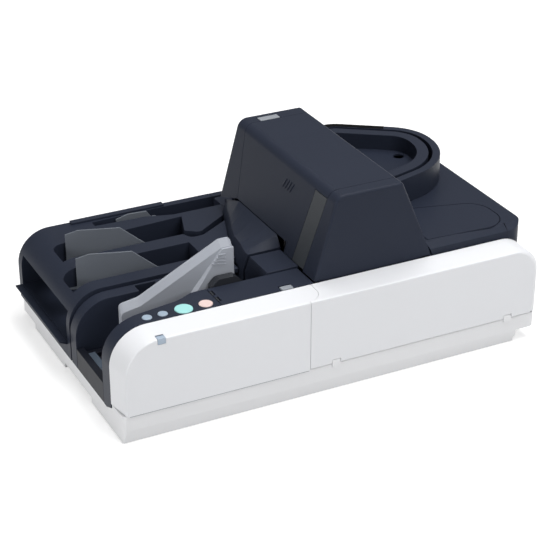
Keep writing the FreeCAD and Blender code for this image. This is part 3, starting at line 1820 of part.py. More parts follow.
def make_turn_guide():
    """Inner rim of the U-turn round a pit with a hole in its floor."""
    body = new_body("turn_inner_guide")
    slot = size.rim_width + size.turn_slot
    depth = slot + size.inner_rim_width
    add(body, "XY", "deck_top", "rim_rise", turn_band(slot, depth))
    add(body, "XY", "chassis_top", "deck_top - chassis_top",
        turn_band(slot, slot + size.liner))
    edge = slot + size.liner
    floor = inset(turn_path(), [edge, edge, edge, edge, 0])
    add(body, "XY", "rim_top - pit_drop - wall", "wall", floor)
    hole = circle(size.turn_nose - size.pit_hole_inset, size.pit_hole_place,
                  size.pit_hole_radius)
    cut(body, "XY", "rim_top - pit_drop - overrun", "2 * overrun", hole)
    return body


def make_rear_track_cover():
    """Low cover behind the head, with the return track's slot."""
    body = new_body("rear_track_cover")
    left = size.rear_cover_left
    right = size.deck_left - size.seam_gap
    outline = rectangle(left, size.rear_cover_front, right, size.machine_depth)
    add(body, "XY", "base_height", "stacker_top - base_height", outline)
    # Raised wall and shelf under the head's rear hinge
    wall = size.wall
    rise = rectangle(left + 4 * wall, size.rear_cover_front, right - 2 * wall,
                     size.rear_cover_front + wall)
    add(body, "XY", "stacker_top - wall", "front_top - stacker_top + wall", rise)
    shelf = rectangle(left + 4 * wall, size.rear_hinge_line - size.rear_hinge_radius,
                      right - 2 * wall, size.rear_cover_front + wall)
    add(body, "XY", "front_top - 2 * wall", "2 * wall", shelf)
    slot = rectangle(left - size.overrun, size.rear_slot_front,
                     right + size.overrun, size.rear_slot_back)
    cut(body, "XY", "pocket_floor_top", "machine_depth", slot)
    over = size.overrun
    hollow = rectangle(left + wall, size.base_height - over, right - wall,
                       size.stacker_top - 2 * wall)
    cut(body, "XZ", "rear_cover_front + wall",
        "rear_slot_front - rear_cover_front - 2 * wall", hollow)
    return body


def make_socket(label, place, width, height, depth):
    """Socket sunk in the back wall, open to the back."""
    body = new_body(label)
    left = getattr(size, place)
    right = left + getattr(size, width)
    low = size.base_floor
    high = low + getattr(size, height)
    add(body, "XZ", "base_back - " + depth, depth, rectangle(left, low, right, high))
    rim = size.wall * 2 / 3
    mouth = rectangle(left + rim, low + rim, right - rim, high - rim)
    cut(body, "XZ", "base_back - " + depth + " + wall", depth, mouth)
    tongue = (high - low) / 6
    middle = (low + high) / 2
    blade = rectangle(left + 3 * rim, middle - tongue / 2, right - 3 * rim, middle + tongue / 2)
    add(body, "XZ", "base_back - " + depth, depth + " - wall", blade)
    return body


# Rollers and drive
def make_roller(label, x, y, radius, pulley_level, height="shaft_height", bands=2):
    """Upright shaft with rubber bands and, where it is driven, a pulley."""
    body = new_body(label, x, y, "chassis_top + seam_gap")
    shaft = size.shaft_radius
    tall = getattr(size, height)
    reach = getattr(size, radius)
    turned(body, rectangle(0, 0, shaft, tall))
    base = size.chassis_top + size.seam_gap
    for index in range(bands):
        low = size.roller_band_first + index * size.roller_band_pitch - base
        band = rectangle(0, low, reach, low + size.roller_band_height)
        band[1] += (size.seam_gap,)
        band[2] += (size.seam_gap,)
        turned(body, band)
    if pulley_level:
        low = getattr(size, pulley_level) - base - (size.pulley_height - size.belt_height) / 2
        turned(body, rectangle(0, low, size.pulley_radius, low + size.pulley_height))
    return body


def make_motor():
    body = new_body("drive_motor", "motor_place", "motor_line", "chassis_top")
    turned(body, [
        (0, 0),
        (size.motor_radius, 0),
        (size.motor_radius, size.motor_height, size.wall),
        (0, size.motor_height),
    ])
    return body


def make_motor_pulley():
    """Double pulley just above the motor."""
    body = new_body("motor_pulley", "motor_place", "motor_line", "chassis_top + motor_height")
    low = size.belt_gap
    tall = size.entry_belt_level + size.pulley_height - size.chassis_top - size.motor_height
    turned(body, rectangle(0, low, size.pulley_radius, tall))
    return body


def belt_loop(first, second, radius):
    """Edges of the stadium round two pulleys of one radius."""
    start = vector(*first)
    finish = vector(*second)
    along = (finish - start).normalize()
    side = vector(-along.y, along.x) * radius
    tip = along * radius
    return [
        Part.Arc(finish - side, finish + tip, finish + side),
        Part.LineSegment(finish + side, start + side),
        Part.Arc(start + side, start - tip, start - side),
        Part.LineSegment(start - side, finish - side),
    ]


def make_drive_belts():
    body = new_body("drive_belts")
    motor = (size.motor_place, size.motor_line)
    feed = (size.feed_roller_place, size.feed_roller_line)
    pickup = (size.pickup_roller_place, size.pickup_roller_line)
    runs = (
        ("exit_belt_level", motor, (size.exit_drive_x, size.exit_drive_y)),
        ("entry_belt_level", motor, (size.entry_drive_x, size.entry_drive_y)),
        ("feed_belt_level", feed, pickup),
    )
    inner = size.pulley_radius + size.belt_gap
    for level, first, second in runs:
        outer_loop = belt_loop(first, second, inner + size.belt_thickness)
        inner_loop = belt_loop(first, second, inner)
        add(body, "XY", level, "belt_height", outer_loop, inner_loop)
    return body


def new_track_body(label):
    """A sub-part drawn along the track, from where the track enters the head."""
    body = new_body(label, "head_left", "track_line")
    angle = math.degrees(math.atan2(size.track_rise, size.track_run))
    body.Placement = FreeCAD.Placement(body.Placement.Base, FreeCAD.Rotation(UP, angle))
    return body


def make_track_guides():
    """Two upright sheets that the cheques pass between, with windows for the rollers."""
    body = new_track_body("track_guides")
    left = size.guide_left
    right = size.guide_right
    base = size.chassis_top
    sheet_loop = rectangle(left, base, right, base + size.guide_height)
    add(body, "XZ", "0 - track_slot / 2 - guide_sheet", "guide_sheet", sheet_loop)
    add(body, "XZ", "track_slot / 2", "guide_sheet", sheet_loop)
    reach = size.drive_roller_radius + size.roller_window
    low = size.roller_band_first - size.roller_window
    high = low + size.roller_band_pitch + size.roller_band_height + 2 * size.roller_window
    windows = []
    for place in (size.entry_roller_place, size.exit_roller_place):
        windows.append(rectangle(place - reach, low, place + reach, high))
    start = size.module_start + size.wall
    scan = rectangle(start, low, size.module_start + size.module_length - size.wall, high)
    windows.append(scan)
    cut(body, "XZ", "0 - track_slot / 2 - overrun", "track_slot + 2 * overrun", *windows)
    return body


def make_scan_module(label, start, glass_start):
    """Contact image sensor with its glass set in the face beside the track."""
    body = new_track_body(label)
    left = size.module_start
    right = left + size.module_length
    base = size.chassis_top
    block = rectangle(left, base, right, base + size.module_height)
    add(body, "XZ", start, "module_depth", block)
    wall = size.wall
    recess = rectangle(left + wall, base + wall, right - wall, base + size.module_height - wall)
    cut(body, "XZ", glass_start, "glass_thickness", recess)
    return body


# Boards and cartridge
def make_main_board():
    body = new_body("main_board")
    left = size.main_board_left
    front = size.main_board_front
    plate = rectangle(left, front, left + size.main_board_length, front + size.main_board_depth)
    add(body, "XY", "base_floor + standoff_height", "board_thickness", plate)
    pad = size.wall
    feet = []
    for x in (left + 2 * pad, left + size.main_board_length - 2 * pad):
        for y in (front + 2 * pad, front + size.main_board_depth - 2 * pad):
            feet.append(circle(x, y, pad))
    add(body, "XY", "base_floor", "standoff_height", *feet)
    chips = [
        rectangle(left + size.main_board_length / 4, front + size.main_board_depth / 4,
                  left + size.main_board_length / 2, front + size.main_board_depth * 3 / 4),
        rectangle(left + size.main_board_length * 3 / 4, front + size.main_board_depth / 4,
                  left + size.main_board_length * 0.85, front + size.main_board_depth / 2),
    ]
    add(body, "XY", "base_floor + standoff_height + board_thickness", "standoff_height", *chips)
    return body


def make_ink_cartridge():
    """Imprinter cartridge standing on the chassis below the lid."""
    body = new_body("ink_cartridge")
    left = size.cartridge_place
    front = size.cartridge_line
    right = left + size.cartridge_length
    back = front + size.cartridge_depth
    corner = size.wall
    outline = [(left, front, corner), (right, front, corner), (right, back, corner),
               (left, back, corner)]
    add(body, "XY", "chassis_top", "cartridge_height", outline)
    grip = rectangle(left + size.cartridge_length / 4, front + size.cartridge_depth / 3,
                     right - size.cartridge_length / 4, back - size.cartridge_depth / 3)
    add(body, "XY", "chassis_top + cartridge_height", "2 * wall", grip)
    return body


def make_hinge_pins():
    """Steel pins of all the knuckle hinges."""
    body = new_body("hinge_pins")
    for plane, start, length, outline in HINGE_PINS:
        add(body, plane, start, length, outline)
    return body


def build_all():
    """Make every sub-part and return the bodies."""
    fill_sheet()
    base = make_base_tray()
    frame = make_feeder_frame()
    deck = make_right_deck()
    track_cover = make_rear_track_cover()
    parts = [
        base, frame, deck, track_cover,
        make_rubber_feet(),
        make_chassis_plate(),
        make_chassis_screws(),
        make_front_cover_left(),
        make_front_cover_right(base),
        make_status_window(),
        make_operation_panel(),
        make_panel_board(),
        make_roller_cover(frame),
        make_roller_cover_latch(),
        make_feed_tray(),
        make_guide_bar(),
        make_lane_wall(),
        make_feed_press_arm(),
        make_arm_pivot_pin(),
        make_stacker_cover(),
        make_exit_ledge(),
        make_plate_pins(),
        make_entrance_platform(),
        make_entrance_block(),
        make_head_front_cover(),
        make_head_trim_strip(),
        make_head_main_cover(deck),
        make_head_rear_cover(track_cover),
        make_head_latch(),
        make_deck_lid(deck),
        make_turn_wall(),
        make_turn_guide(),
        make_motor(),
        make_motor_pulley(),
        make_drive_belts(),
        make_track_guides(),
        make_scan_module("scan_module_front", "0 - module_gap - module_depth",
                         "0 - module_gap - glass_thickness"),
        make_scan_module("scan_module_rear", "module_gap", "module_gap"),
        make_main_board(),
        make_ink_cartridge(),
        make_socket("power_inlet", *SOCKETS[0]),
        make_socket("data_port", *SOCKETS[1]),
    ]
    parts += [make_button(*button) for button in BUTTONS]
    parts += [make_press_plate(*plate) for plate in PRESS_PLATES]
    rollers = (
        ("entry_drive_roller", "entry_drive_x", "entry_drive_y", "drive_roller_radius",
         "entry_belt_level"),
        ("exit_drive_roller", "exit_drive_x", "exit_drive_y", "drive_roller_radius",
         "exit_belt_level"),
        ("entry_pinch_roller", "entry_pinch_x", "entry_pinch_y", "pinch_roller_radius",
         None),
        ("exit_pinch_roller", "exit_pinch_x", "exit_pinch_y", "pinch_roller_radius",
         None),
    )
    parts += [make_roller(*roller) for roller in rollers]
    parts.append(make_roller("feed_roller", "feed_roller_place", "feed_roller_line",
                             "feed_roller_radius", "feed_belt_level", "feed_shaft_height", 1))
    parts.append(make_roller("pickup_roller", "pickup_roller_place", "pickup_roller_line",
                             "pickup_roller_radius", "feed_belt_level", "feed_shaft_height", 1))
    parts.append(make_roller("retard_roller", "feed_roller_place", "retard_roller_line",
                             "retard_roller_radius", None, "feed_shaft_height", 1))
    parts.append(make_hinge_pins())
    return parts


def check(parts):
    """Stop if a feature failed, a cut removed nothing or a sub-part isn't sound."""
    problems = []
    for item in doc.Objects:
        if "Invalid" in item.State or "Error" in item.State:
            problems.append(item.Name + " failed")
        if item.TypeId == "PartDesign::Pocket" and item.BaseFeature:
            if item.Shape.Volume > item.BaseFeature.Shape.Volume * (1 - 1e-9):
                problems.append(item.Name + " cuts nothing")
    for part in parts:
        if part.Shape.isNull() or not part.Shape.isValid():
            problems.append(part.Label + " isn't a valid shape")
    if problems:
        raise SystemExit("\n".join(problems))


def main():
    parts = build_all()
    doc.recompute()
    check(parts)
    os.makedirs("parts", exist_ok=True)
    for part in parts:
        part.Shape.exportStep(os.path.join("parts", part.Label + ".step"))
        box = part.Shape.BoundBox
        print("%-20s %d solids, %.1f x %.1f x %.1f" % (
            part.Label, len(part.Shape.Solids), box.XLength, box.YLength, box.ZLength))


main()
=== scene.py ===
"""Looks of the desktop cheque scanner: white front, dark lane and head, grey press arm."""
import bpy
import json
import math
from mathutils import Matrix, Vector


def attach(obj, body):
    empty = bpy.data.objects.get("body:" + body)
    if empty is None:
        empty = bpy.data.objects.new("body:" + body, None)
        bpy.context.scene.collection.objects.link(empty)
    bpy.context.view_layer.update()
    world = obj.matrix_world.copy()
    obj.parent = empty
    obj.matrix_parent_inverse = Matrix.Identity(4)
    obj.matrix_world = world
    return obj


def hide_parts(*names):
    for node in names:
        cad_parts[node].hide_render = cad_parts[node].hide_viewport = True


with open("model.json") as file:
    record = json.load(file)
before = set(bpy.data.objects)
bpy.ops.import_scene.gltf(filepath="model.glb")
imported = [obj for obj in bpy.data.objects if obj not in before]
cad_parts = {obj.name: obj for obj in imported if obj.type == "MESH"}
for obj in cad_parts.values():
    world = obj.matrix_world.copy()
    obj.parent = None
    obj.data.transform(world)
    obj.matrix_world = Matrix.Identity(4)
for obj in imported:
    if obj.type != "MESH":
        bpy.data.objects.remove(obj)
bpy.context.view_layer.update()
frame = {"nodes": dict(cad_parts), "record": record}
# The left front corner of the base, from which the places below are given in millimetres
CORNER = Vector((-0.2675, -0.172, 0))
# The head's track: its start beside the platform, and its turn towards the back
TRACK_START = (260.2, 129)
TRACK_TURN = math.atan2(23.0, 152.8)

bl_info = {
    "name": "Cheque scanner",
    "version": (1, 0, 0),
    "blender": (4, 5, 0),
    "location": "View3D > Sidebar > Scanner",
    "description": "Dresses the cheque scanner's frame with its covers, finishes and stage",
    "category": "Object",
}


# Settings
class ScannerShape(bpy.types.PropertyGroup):
    edge_radius: bpy.props.FloatProperty(
        name="Edge radius", description="Softness of the moulded edges",
        default=0.0006, subtype="DISTANCE", unit="LENGTH")
    white_edge_radius: bpy.props.FloatProperty(
        name="White edge radius", description="Softness of the white covers' edges",
        default=0.0009, subtype="DISTANCE", unit="LENGTH")
    metal_edge_radius: bpy.props.FloatProperty(
        name="Metal edge radius", description="Softness of pressed and turned edges",
        default=0.0002, subtype="DISTANCE", unit="LENGTH")
    smooth_angle: bpy.props.FloatProperty(
        name="Smooth angle", description="Edges sharper than this stay sharp",
        default=math.radians(32), subtype="ANGLE", unit="ROTATION")
    lens: bpy.props.FloatProperty(
        name="Lens", description="Focal length of the camera", default=109.8, unit="CAMERA")
    azimuth: bpy.props.FloatProperty(
        name="Azimuth", description="Camera's turn round the machine",
        default=math.radians(-26.59), subtype="ANGLE", unit="ROTATION")
    elevation: bpy.props.FloatProperty(
        name="Elevation", description="Camera's height as an angle",
        default=math.radians(27.80), subtype="ANGLE", unit="ROTATION")
    camera_place: bpy.props.FloatVectorProperty(
        name="Camera place", description="Where the camera stands",
        default=(-0.81866, -1.65156, 1.04088), subtype="XYZ", unit="LENGTH")


def colour_property(label, text, values):
    return bpy.props.FloatVectorProperty(
        name=label, description=text, default=values, subtype="COLOR", size=3, min=0, max=1)


class ScannerColours(bpy.types.PropertyGroup):
    white_cover: colour_property("White cover", "Glossy white front", (0.765, 0.775, 0.80))
    white_base: colour_property("White base", "Satin white base", (0.79, 0.795, 0.81))
    dark_cover: colour_property("Dark cover", "Blue-black covers", (0.0215, 0.0265, 0.0425))
    dark_track: colour_property("Dark track", "Blacker inner surfaces", (0.009, 0.0105, 0.017))
    grey_arm: colour_property("Grey arm", "Light grey press arm", (0.34, 0.36, 0.405))
    grey_plate: colour_property("Grey plate", "Dark grey press plates", (0.135, 0.15, 0.175))
    tab_grey: colour_property("Tab grey", "Grey latch tabs", (0.27, 0.29, 0.32))
    trim_grey: colour_property("Trim grey", "Lighter strip on the head", (0.036, 0.041, 0.048))
    bar_grey: colour_property("Bar grey", "Grey-blue bar in the lane", (0.09, 0.115, 0.15))
    button_grey: colour_property("Button grey", "Two small buttons", (0.33, 0.41, 0.50))
    start_green: colour_property("Start green", "Large start button", (0.36, 0.73, 0.71))
    stop_coral: colour_property("Stop coral", "Pale stop button", (0.78, 0.60, 0.56))
    window_grey: colour_property("Window grey", "Status window", (0.38, 0.46, 0.56))
    # Darker colour at the status window's far edge: painted shade
    window_band: colour_property("Window painted shade", "Painted shade along the status window's far edge",
                                 (0.12, 0.15, 0.19))
    module_glass: colour_property("Module glass", "Dark glass of the scanning modules",
                                  (0.012, 0.016, 0.022))
    # Near-black colour of the rim strip: painted shade
    rim_black: colour_property("Rim painted shade", "Painted shade strip on the U-turn's rim", (0.002, 0.002, 0.0025))
    hump_gloss: colour_property("Hump gloss", "Glossy feeder hump", (0.020, 0.022, 0.027))
    rubber: colour_property("Rubber", "Feet, rollers and belts", (0.022, 0.022, 0.023))
    steel: colour_property("Steel", "Chassis, pins and guides", (0.56, 0.57, 0.58))
    board_green: colour_property("Board green", "Circuit boards", (0.02, 0.12, 0.06))
    motor_black: colour_property("Motor black", "Motor and modules", (0.03, 0.03, 0.032))
    cartridge_blue: colour_property("Cartridge blue", "Imprinter cartridge", (0.03, 0.07, 0.22))
    floor: colour_property("Floor", "Pale floor", (0.62, 0.62, 0.62))


def shape_settings():
    return bpy.context.scene.scanner_shape


def colours():
    return bpy.context.scene.scanner_colours


# Shader node groups
NOISE_MEAN = 0.5
ROUGHNESS_SPREAD = 0.18
GRAIN_DEPTH = 0.00012


def socket(group, name, kind, way, default=None):
    made = group.interface.new_socket(name=name, in_out=way, socket_type=kind)
    if default is not None:
        made.default_value = default


def link_all(tree, pairs):
    for start, end in pairs:
        tree.links.new(start, end)


def grain_group():
    """Fine spark texture of moulded plastic: colour, roughness and height."""
    name = "moulded_grain"
    if name in bpy.data.node_groups:
        return bpy.data.node_groups[name]
    group = bpy.data.node_groups.new(name, "ShaderNodeTree")
    socket(group, "Colour", "NodeSocketColor", "INPUT")
    socket(group, "Roughness", "NodeSocketFloat", "INPUT", 0.4)
    socket(group, "Scale", "NodeSocketFloat", "INPUT", 2500.0)
    socket(group, "Mottle", "NodeSocketFloat", "INPUT", 0.06)
    socket(group, "Handling", "NodeSocketFloat", "INPUT", 0.08)
    socket(group, "Colour", "NodeSocketColor", "OUTPUT")
    socket(group, "Roughness", "NodeSocketFloat", "OUTPUT")
    socket(group, "Height", "NodeSocketFloat", "OUTPUT")
    nodes = group.nodes
    inputs = nodes.new("NodeGroupInput")
    outputs = nodes.new("NodeGroupOutput")
    place = nodes.new("ShaderNodeTexCoord")
    fine = nodes.new("ShaderNodeTexNoise")
    fine.inputs["Detail"].default_value = 2.0
    broad = nodes.new("ShaderNodeTexNoise")
    broad.inputs["Scale"].default_value = 14.0
    broad.inputs["Detail"].default_value = 4.0
    streak = nodes.new("ShaderNodeTexNoise")
    streak.inputs["Scale"].default_value = 90.0
    streak.inputs["Detail"].default_value = 3.0
    light = nodes.new("ShaderNodeMath")
    light.operation = "MULTIPLY_ADD"
    light.inputs[2].default_value = 1.0
    centre = nodes.new("ShaderNodeMath")
    centre.operation = "SUBTRACT"
    centre.inputs[1].default_value = NOISE_MEAN
    tint = nodes.new("ShaderNodeMix")
    tint.data_type = "RGBA"
    tint.blend_type = "MULTIPLY"
    tint.inputs["Factor"].default_value = 1.0
    both = nodes.new("ShaderNodeMath")
    both.operation = "MULTIPLY"
    shift = nodes.new("ShaderNodeMath")
    shift.operation = "SUBTRACT"
    shift.inputs[1].default_value = NOISE_MEAN ** 2
    wear = nodes.new("ShaderNodeMath")
    wear.operation = "MULTIPLY_ADD"
    link_all(group, (
        (place.outputs["Object"], fine.inputs["Vector"]),
        (place.outputs["Object"], broad.inputs["Vector"]),
        (place.outputs["Object"], streak.inputs["Vector"]),
        (inputs.outputs["Scale"], fine.inputs["Scale"]),
        (broad.outputs["Fac"], centre.inputs[0]),
        (centre.outputs[0], light.inputs[0]),
        (inputs.outputs["Mottle"], light.inputs[1]),
        (inputs.outputs["Colour"], tint.inputs["A"]),
        (light.outputs[0], tint.inputs["B"]),
        (tint.outputs["Result"], outputs.inputs["Colour"]),
        (broad.outputs["Fac"], both.inputs[0]),
        (streak.outputs["Fac"], both.inputs[1]),
        (both.outputs[0], shift.inputs[0]),
        (shift.outputs[0], wear.inputs[0]),
        (inputs.outputs["Handling"], wear.inputs[1]),
        (inputs.outputs["Roughness"], wear.inputs[2]),
        (wear.outputs[0], outputs.inputs["Roughness"]),
        (fine.outputs["Fac"], outputs.inputs["Height"]),
    ))
    return group


def brushed_group():
    """Fine lines along one direction on pressed or turned metal."""
    name = "brushed_lines"
    if name in bpy.data.node_groups:
        return bpy.data.node_groups[name]
    group = bpy.data.node_groups.new(name, "ShaderNodeTree")
    socket(group, "Colour", "NodeSocketColor", "INPUT")
    socket(group, "Roughness", "NodeSocketFloat", "INPUT", 0.35)
    socket(group, "Stretch", "NodeSocketVector", "INPUT", (20.0, 900.0, 900.0))
    socket(group, "Colour", "NodeSocketColor", "OUTPUT")
    socket(group, "Roughness", "NodeSocketFloat", "OUTPUT")
    socket(group, "Height", "NodeSocketFloat", "OUTPUT")
    nodes = group.nodes
    inputs = nodes.new("NodeGroupInput")
    outputs = nodes.new("NodeGroupOutput")
    place = nodes.new("ShaderNodeTexCoord")
    stretch = nodes.new("ShaderNodeVectorMath")
    stretch.operation = "MULTIPLY"
    lines = nodes.new("ShaderNodeTexNoise")
    lines.inputs["Scale"].default_value = 1.0
    lines.inputs["Detail"].default_value = 3.0
    shade = nodes.new("ShaderNodeMapRange")
    shade.inputs["To Min"].default_value = 0.86
    shade.inputs["To Max"].default_value = 1.1
    tint = nodes.new("ShaderNodeMix")
    tint.data_type = "RGBA"
    tint.blend_type = "MULTIPLY"
    tint.inputs["Factor"].default_value = 1.0
    rough = nodes.new("ShaderNodeMath")
    rough.operation = "MULTIPLY_ADD"
    rough.inputs[1].default_value = ROUGHNESS_SPREAD
    link_all(group, (
        (place.outputs["Object"], stretch.inputs[0]),
        (inputs.outputs["Stretch"], stretch.inputs[1]),
        (stretch.outputs[0], lines.inputs["Vector"]),
        (lines.outputs["Fac"], shade.inputs["Value"]),
        (inputs.outputs["Colour"], tint.inputs["A"]),
        (shade.outputs[0], tint.inputs["B"]),
        (tint.outputs["Result"], outputs.inputs["Colour"]),
        (lines.outputs["Fac"], rough.inputs[0]),
        (inputs.outputs["Roughness"], rough.inputs[2]),
        (rough.outputs[0], outputs.inputs["Roughness"]),
        (lines.outputs["Fac"], outputs.inputs["Height"]),
    ))
    return group


# Materials
def base_material(name, group, colour, roughness, bump, metallic=0.0, specular=0.5, **inputs):
    """A material whose colour, roughness and bump come from one of the groups."""
    if name in bpy.data.materials:
        return bpy.data.materials[name]
    material = bpy.data.materials.new(name)
    material.use_nodes = True
    tree = material.node_tree
    shader = tree.nodes["Principled BSDF"]
    shader.inputs["Metallic"].default_value = metallic
    shader.inputs["Specular IOR Level"].default_value = specular
    surface = tree.nodes.new("ShaderNodeGroup")
    surface.node_tree = group
    surface.inputs["Colour"].default_value = (*colour, 1.0)
    surface.inputs["Roughness"].default_value = roughness
    for key, value in inputs.items():
        surface.inputs[key].default_value = value
    bumps = tree.nodes.new("ShaderNodeBump")
    bumps.inputs["Strength"].default_value = bump
    bumps.inputs["Distance"].default_value = GRAIN_DEPTH
    link_all(tree, (
        (surface.outputs["Colour"], shader.inputs["Base Color"]),
        (surface.outputs["Roughness"], shader.inputs["Roughness"]),
        (surface.outputs["Height"], bumps.inputs["Height"]),
        (bumps.outputs["Normal"], shader.inputs["Normal"]),
    ))
    return material


def plastic(slot, roughness, bump, **more):
    """A moulded plastic in the colour that is named like its slot."""
    colour = getattr(colours(), slot)
    return base_material(slot + "_finish", grain_group(), colour, roughness, bump, **more)


# Roughness, bump strength and, where it isn't the usual one, specular level of each finish,
# with the grain's own values: strength of the mottle, wear by handling and scale
FINISHES = {
    "white_cover": {"roughness": 0.34, "bump": 0.04, "Mottle": 0.008, "Handling": 0.02},
    "white_base": {"roughness": 0.45, "bump": 0.10, "Mottle": 0.010, "Handling": 0.03},
    "dark_cover": {"roughness": 0.40, "bump": 0.30, "specular": 0.10, "Mottle": 0.10,
                   "Scale": 1900.0},
    "dark_track": {"roughness": 0.45, "bump": 0.25, "specular": 0.17, "Mottle": 0.12,
                   "Scale": 1700.0},
    "grey_arm": {"roughness": 0.38, "bump": 0.20, "Mottle": 0.03, "Scale": 2100.0},
    "grey_plate": {"roughness": 0.46, "bump": 0.30, "specular": 0.35, "Mottle": 0.05,
                   "Scale": 1800.0},
    "tab_grey": {"roughness": 0.40, "bump": 0.22, "Mottle": 0.04},
    "trim_grey": {"roughness": 0.44, "bump": 0.30, "specular": 0.30, "Mottle": 0.05,
                  "Scale": 1800.0},
    "bar_grey": {"roughness": 0.25, "bump": 0.08, "Mottle": 0.05},
    "button_grey": {"roughness": 0.30, "bump": 0.06, "Mottle": 0.03},
    "start_green": {"roughness": 0.30, "bump": 0.06, "Mottle": 0.03},
    "stop_coral": {"roughness": 0.30, "bump": 0.06, "Mottle": 0.03},
    "window_grey": {"roughness": 0.14, "bump": 0.02, "Mottle": 0.05},
    "module_glass": {"roughness": 0.06, "bump": 0.0, "Mottle": 0.05, "Handling": 0.04},
    # Near-black finish of the rim strip: painted shade
    "rim_black": {"roughness": 0.60, "bump": 0.10, "specular": 0.08, "Mottle": 0.10},
    "hump_gloss": {"roughness": 0.20, "bump": 0.06, "Mottle": 0.05},
    "rubber": {"roughness": 0.70, "bump": 0.55, "Mottle": 0.20, "Scale": 1200.0},
    "board_green": {"roughness": 0.32, "bump": 0.10, "Mottle": 0.18, "Scale": 500.0},
    "motor_black": {"roughness": 0.40, "bump": 0.20, "Mottle": 0.08},
    "cartridge_blue": {"roughness": 0.36, "bump": 0.15, "Mottle": 0.06},
}


def finish_of(slot):
    """The material of one of the record's slots, or of a finish of the scene's own."""
    if slot == "steel":
        return base_material("steel_finish", brushed_group(), colours().steel, roughness=0.30,
                             bump=0.25, metallic=1.0)
    if slot == "window_grey":
        return window_finish()
    return plastic(slot, **FINISHES[slot])


# Where the painted shade along the status window's far edge begins and ends, along the object's
# depth
SHADE_START, SHADE_END = -0.1662, -0.1658


def window_finish():
    """The window's plastic, with a band of painted shade along its far edge."""
    material = plastic("window_grey", **FINISHES["window_grey"])
    tree = material.node_tree
    if "band_edge" in tree.nodes:
        return material
    surface = next(node for node in tree.nodes if node.type == "GROUP")
    place = tree.nodes.new("ShaderNodeTexCoord")
    split = tree.nodes.new("ShaderNodeSeparateXYZ")
    edge = tree.nodes.new("ShaderNodeMapRange")
    edge.name = "band_edge"
    edge.inputs["From Min"].default_value = SHADE_START
    edge.inputs["From Max"].default_value = SHADE_END
    tint = tree.nodes.new("ShaderNodeMix")
    tint.data_type = "RGBA"
    tint.inputs["A"].default_value = (*colours().window_grey, 1.0)
    # Painted shade along the window's far edge
    tint.inputs["B"].default_value = (*colours().window_band, 1.0)
    link_all(tree, (
        (place.outputs["Object"], split.inputs[0]),
        (split.outputs["Y"], edge.inputs["Value"]),
        (edge.outputs[0], tint.inputs["Factor"]),
        (tint.outputs["Result"], surface.inputs["Colour"]),
    ))
    return material


# The record's material slot and body of each CAD node
SLOT_OF = {entry["node"]: entry["material_slot"] for entry in frame["record"]["subparts"]}
BODY_OF = {node: body for body, listed in frame["record"]["behaviour"]["bodies"].items()
           for node in listed}


# Modelling helpers
MERGE_DISTANCE = 0.00001
FLAT_ANGLE = math.radians(0.5)
NORMAL_WEIGHT = 90


def only(piece):
    """Make one object the only one selected, and active."""
    bpy.ops.object.select_all(action="DESELECT")
    piece.select_set(True)
    bpy.context.view_layer.objects.active = piece


def apply_modifier(piece, kind, **values):
    only(piece)
    modifier = piece.modifiers.new(kind.lower(), kind)
    for key, value in values.items():
        setattr(modifier, key, value)
    bpy.ops.object.modifier_apply(modifier=modifier.name)


def smooth(piece):
    """Shade smoothly over all but the sharp edges, with the large faces kept flat."""
    only(piece)
    bpy.ops.object.shade_smooth_by_angle(angle=shape_settings().smooth_angle)
    apply_modifier(piece, "WEIGHTED_NORMAL", weight=NORMAL_WEIGHT, keep_sharp=True)


def soften(piece, radius, segments=2):
    """Round the sharp edges of a piece and shade it smoothly."""
    apply_modifier(piece, "BEVEL", width=radius, segments=segments, limit_method="ANGLE",
                   angle_limit=shape_settings().smooth_angle, use_clamp_overlap=True)
    smooth(piece)


def dress(node, radius=None, slot=None, segments=2):
    """A copy of a CAD node with its faces joined up and its edges rounded."""
    slot = slot or SLOT_OF[node]
    source = frame["nodes"][node]
    piece = bpy.data.objects.new(node + "_shell", source.data.copy())
    bpy.context.scene.collection.objects.link(piece)
    only(piece)
    bpy.ops.object.mode_set(mode="EDIT")
    bpy.ops.mesh.select_all(action="SELECT")
    bpy.ops.mesh.remove_doubles(threshold=MERGE_DISTANCE)
    bpy.ops.mesh.dissolve_limited(angle_limit=FLAT_ANGLE)
    bpy.ops.object.mode_set(mode="OBJECT")
    soften(piece, shape_settings().edge_radius if radius is None else radius, segments)
    settle(piece, BODY_OF[node], slot)
    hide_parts(node)


def settle(piece, body, slot):
    """Give a finished piece its material, its place in the mesh and its body."""
    only(piece)
    bpy.ops.object.transform_apply(location=True, rotation=True, scale=True)
    piece.data.materials.clear()
    piece.data.materials.append(finish_of(slot))
    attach(piece, body)


def paint(*nodes):
    """Give CAD nodes that keep their shape their finish."""
    for node in nodes:
        data = frame["nodes"][node].data
        data.materials.clear()
        data.materials.append(finish_of(SLOT_OF[node]))


def at(x, y, z):
    """Scene point of a place given in millimetres from the base's left front corner."""
    return CORNER + Vector((x, y, z)) / 1000


def on_track(along, side, z):
    """Scene point of a place along the head's track and to its rear side."""
    c, s = math.cos(TRACK_TURN), math.sin(TRACK_TURN)
    return at(TRACK_START[0] + along * c - side * s, TRACK_START[1] + along * s + side * c, z)


def block(name, low, high, radius=0, middle=None, turn=0):
    """A block between two corners in millimetres, bevelled where it has a radius.

    A middle, when given, moves it there as a scene point."""
    bpy.ops.object.select_all(action="DESELECT")
    if middle is None:
        middle = at(*((a + b) / 2 for a, b in zip(low, high)))
    bpy.ops.mesh.primitive_cube_add(size=1, location=middle, rotation=(0, 0, turn))
    piece = bpy.context.object
    piece.name = name
    piece.scale = [(b - a) / 1000 for a, b in zip(low, high)]
    bpy.ops.object.transform_apply(location=True, rotation=True, scale=True)
    if radius:
        bevel_all(piece, radius)
    return piece


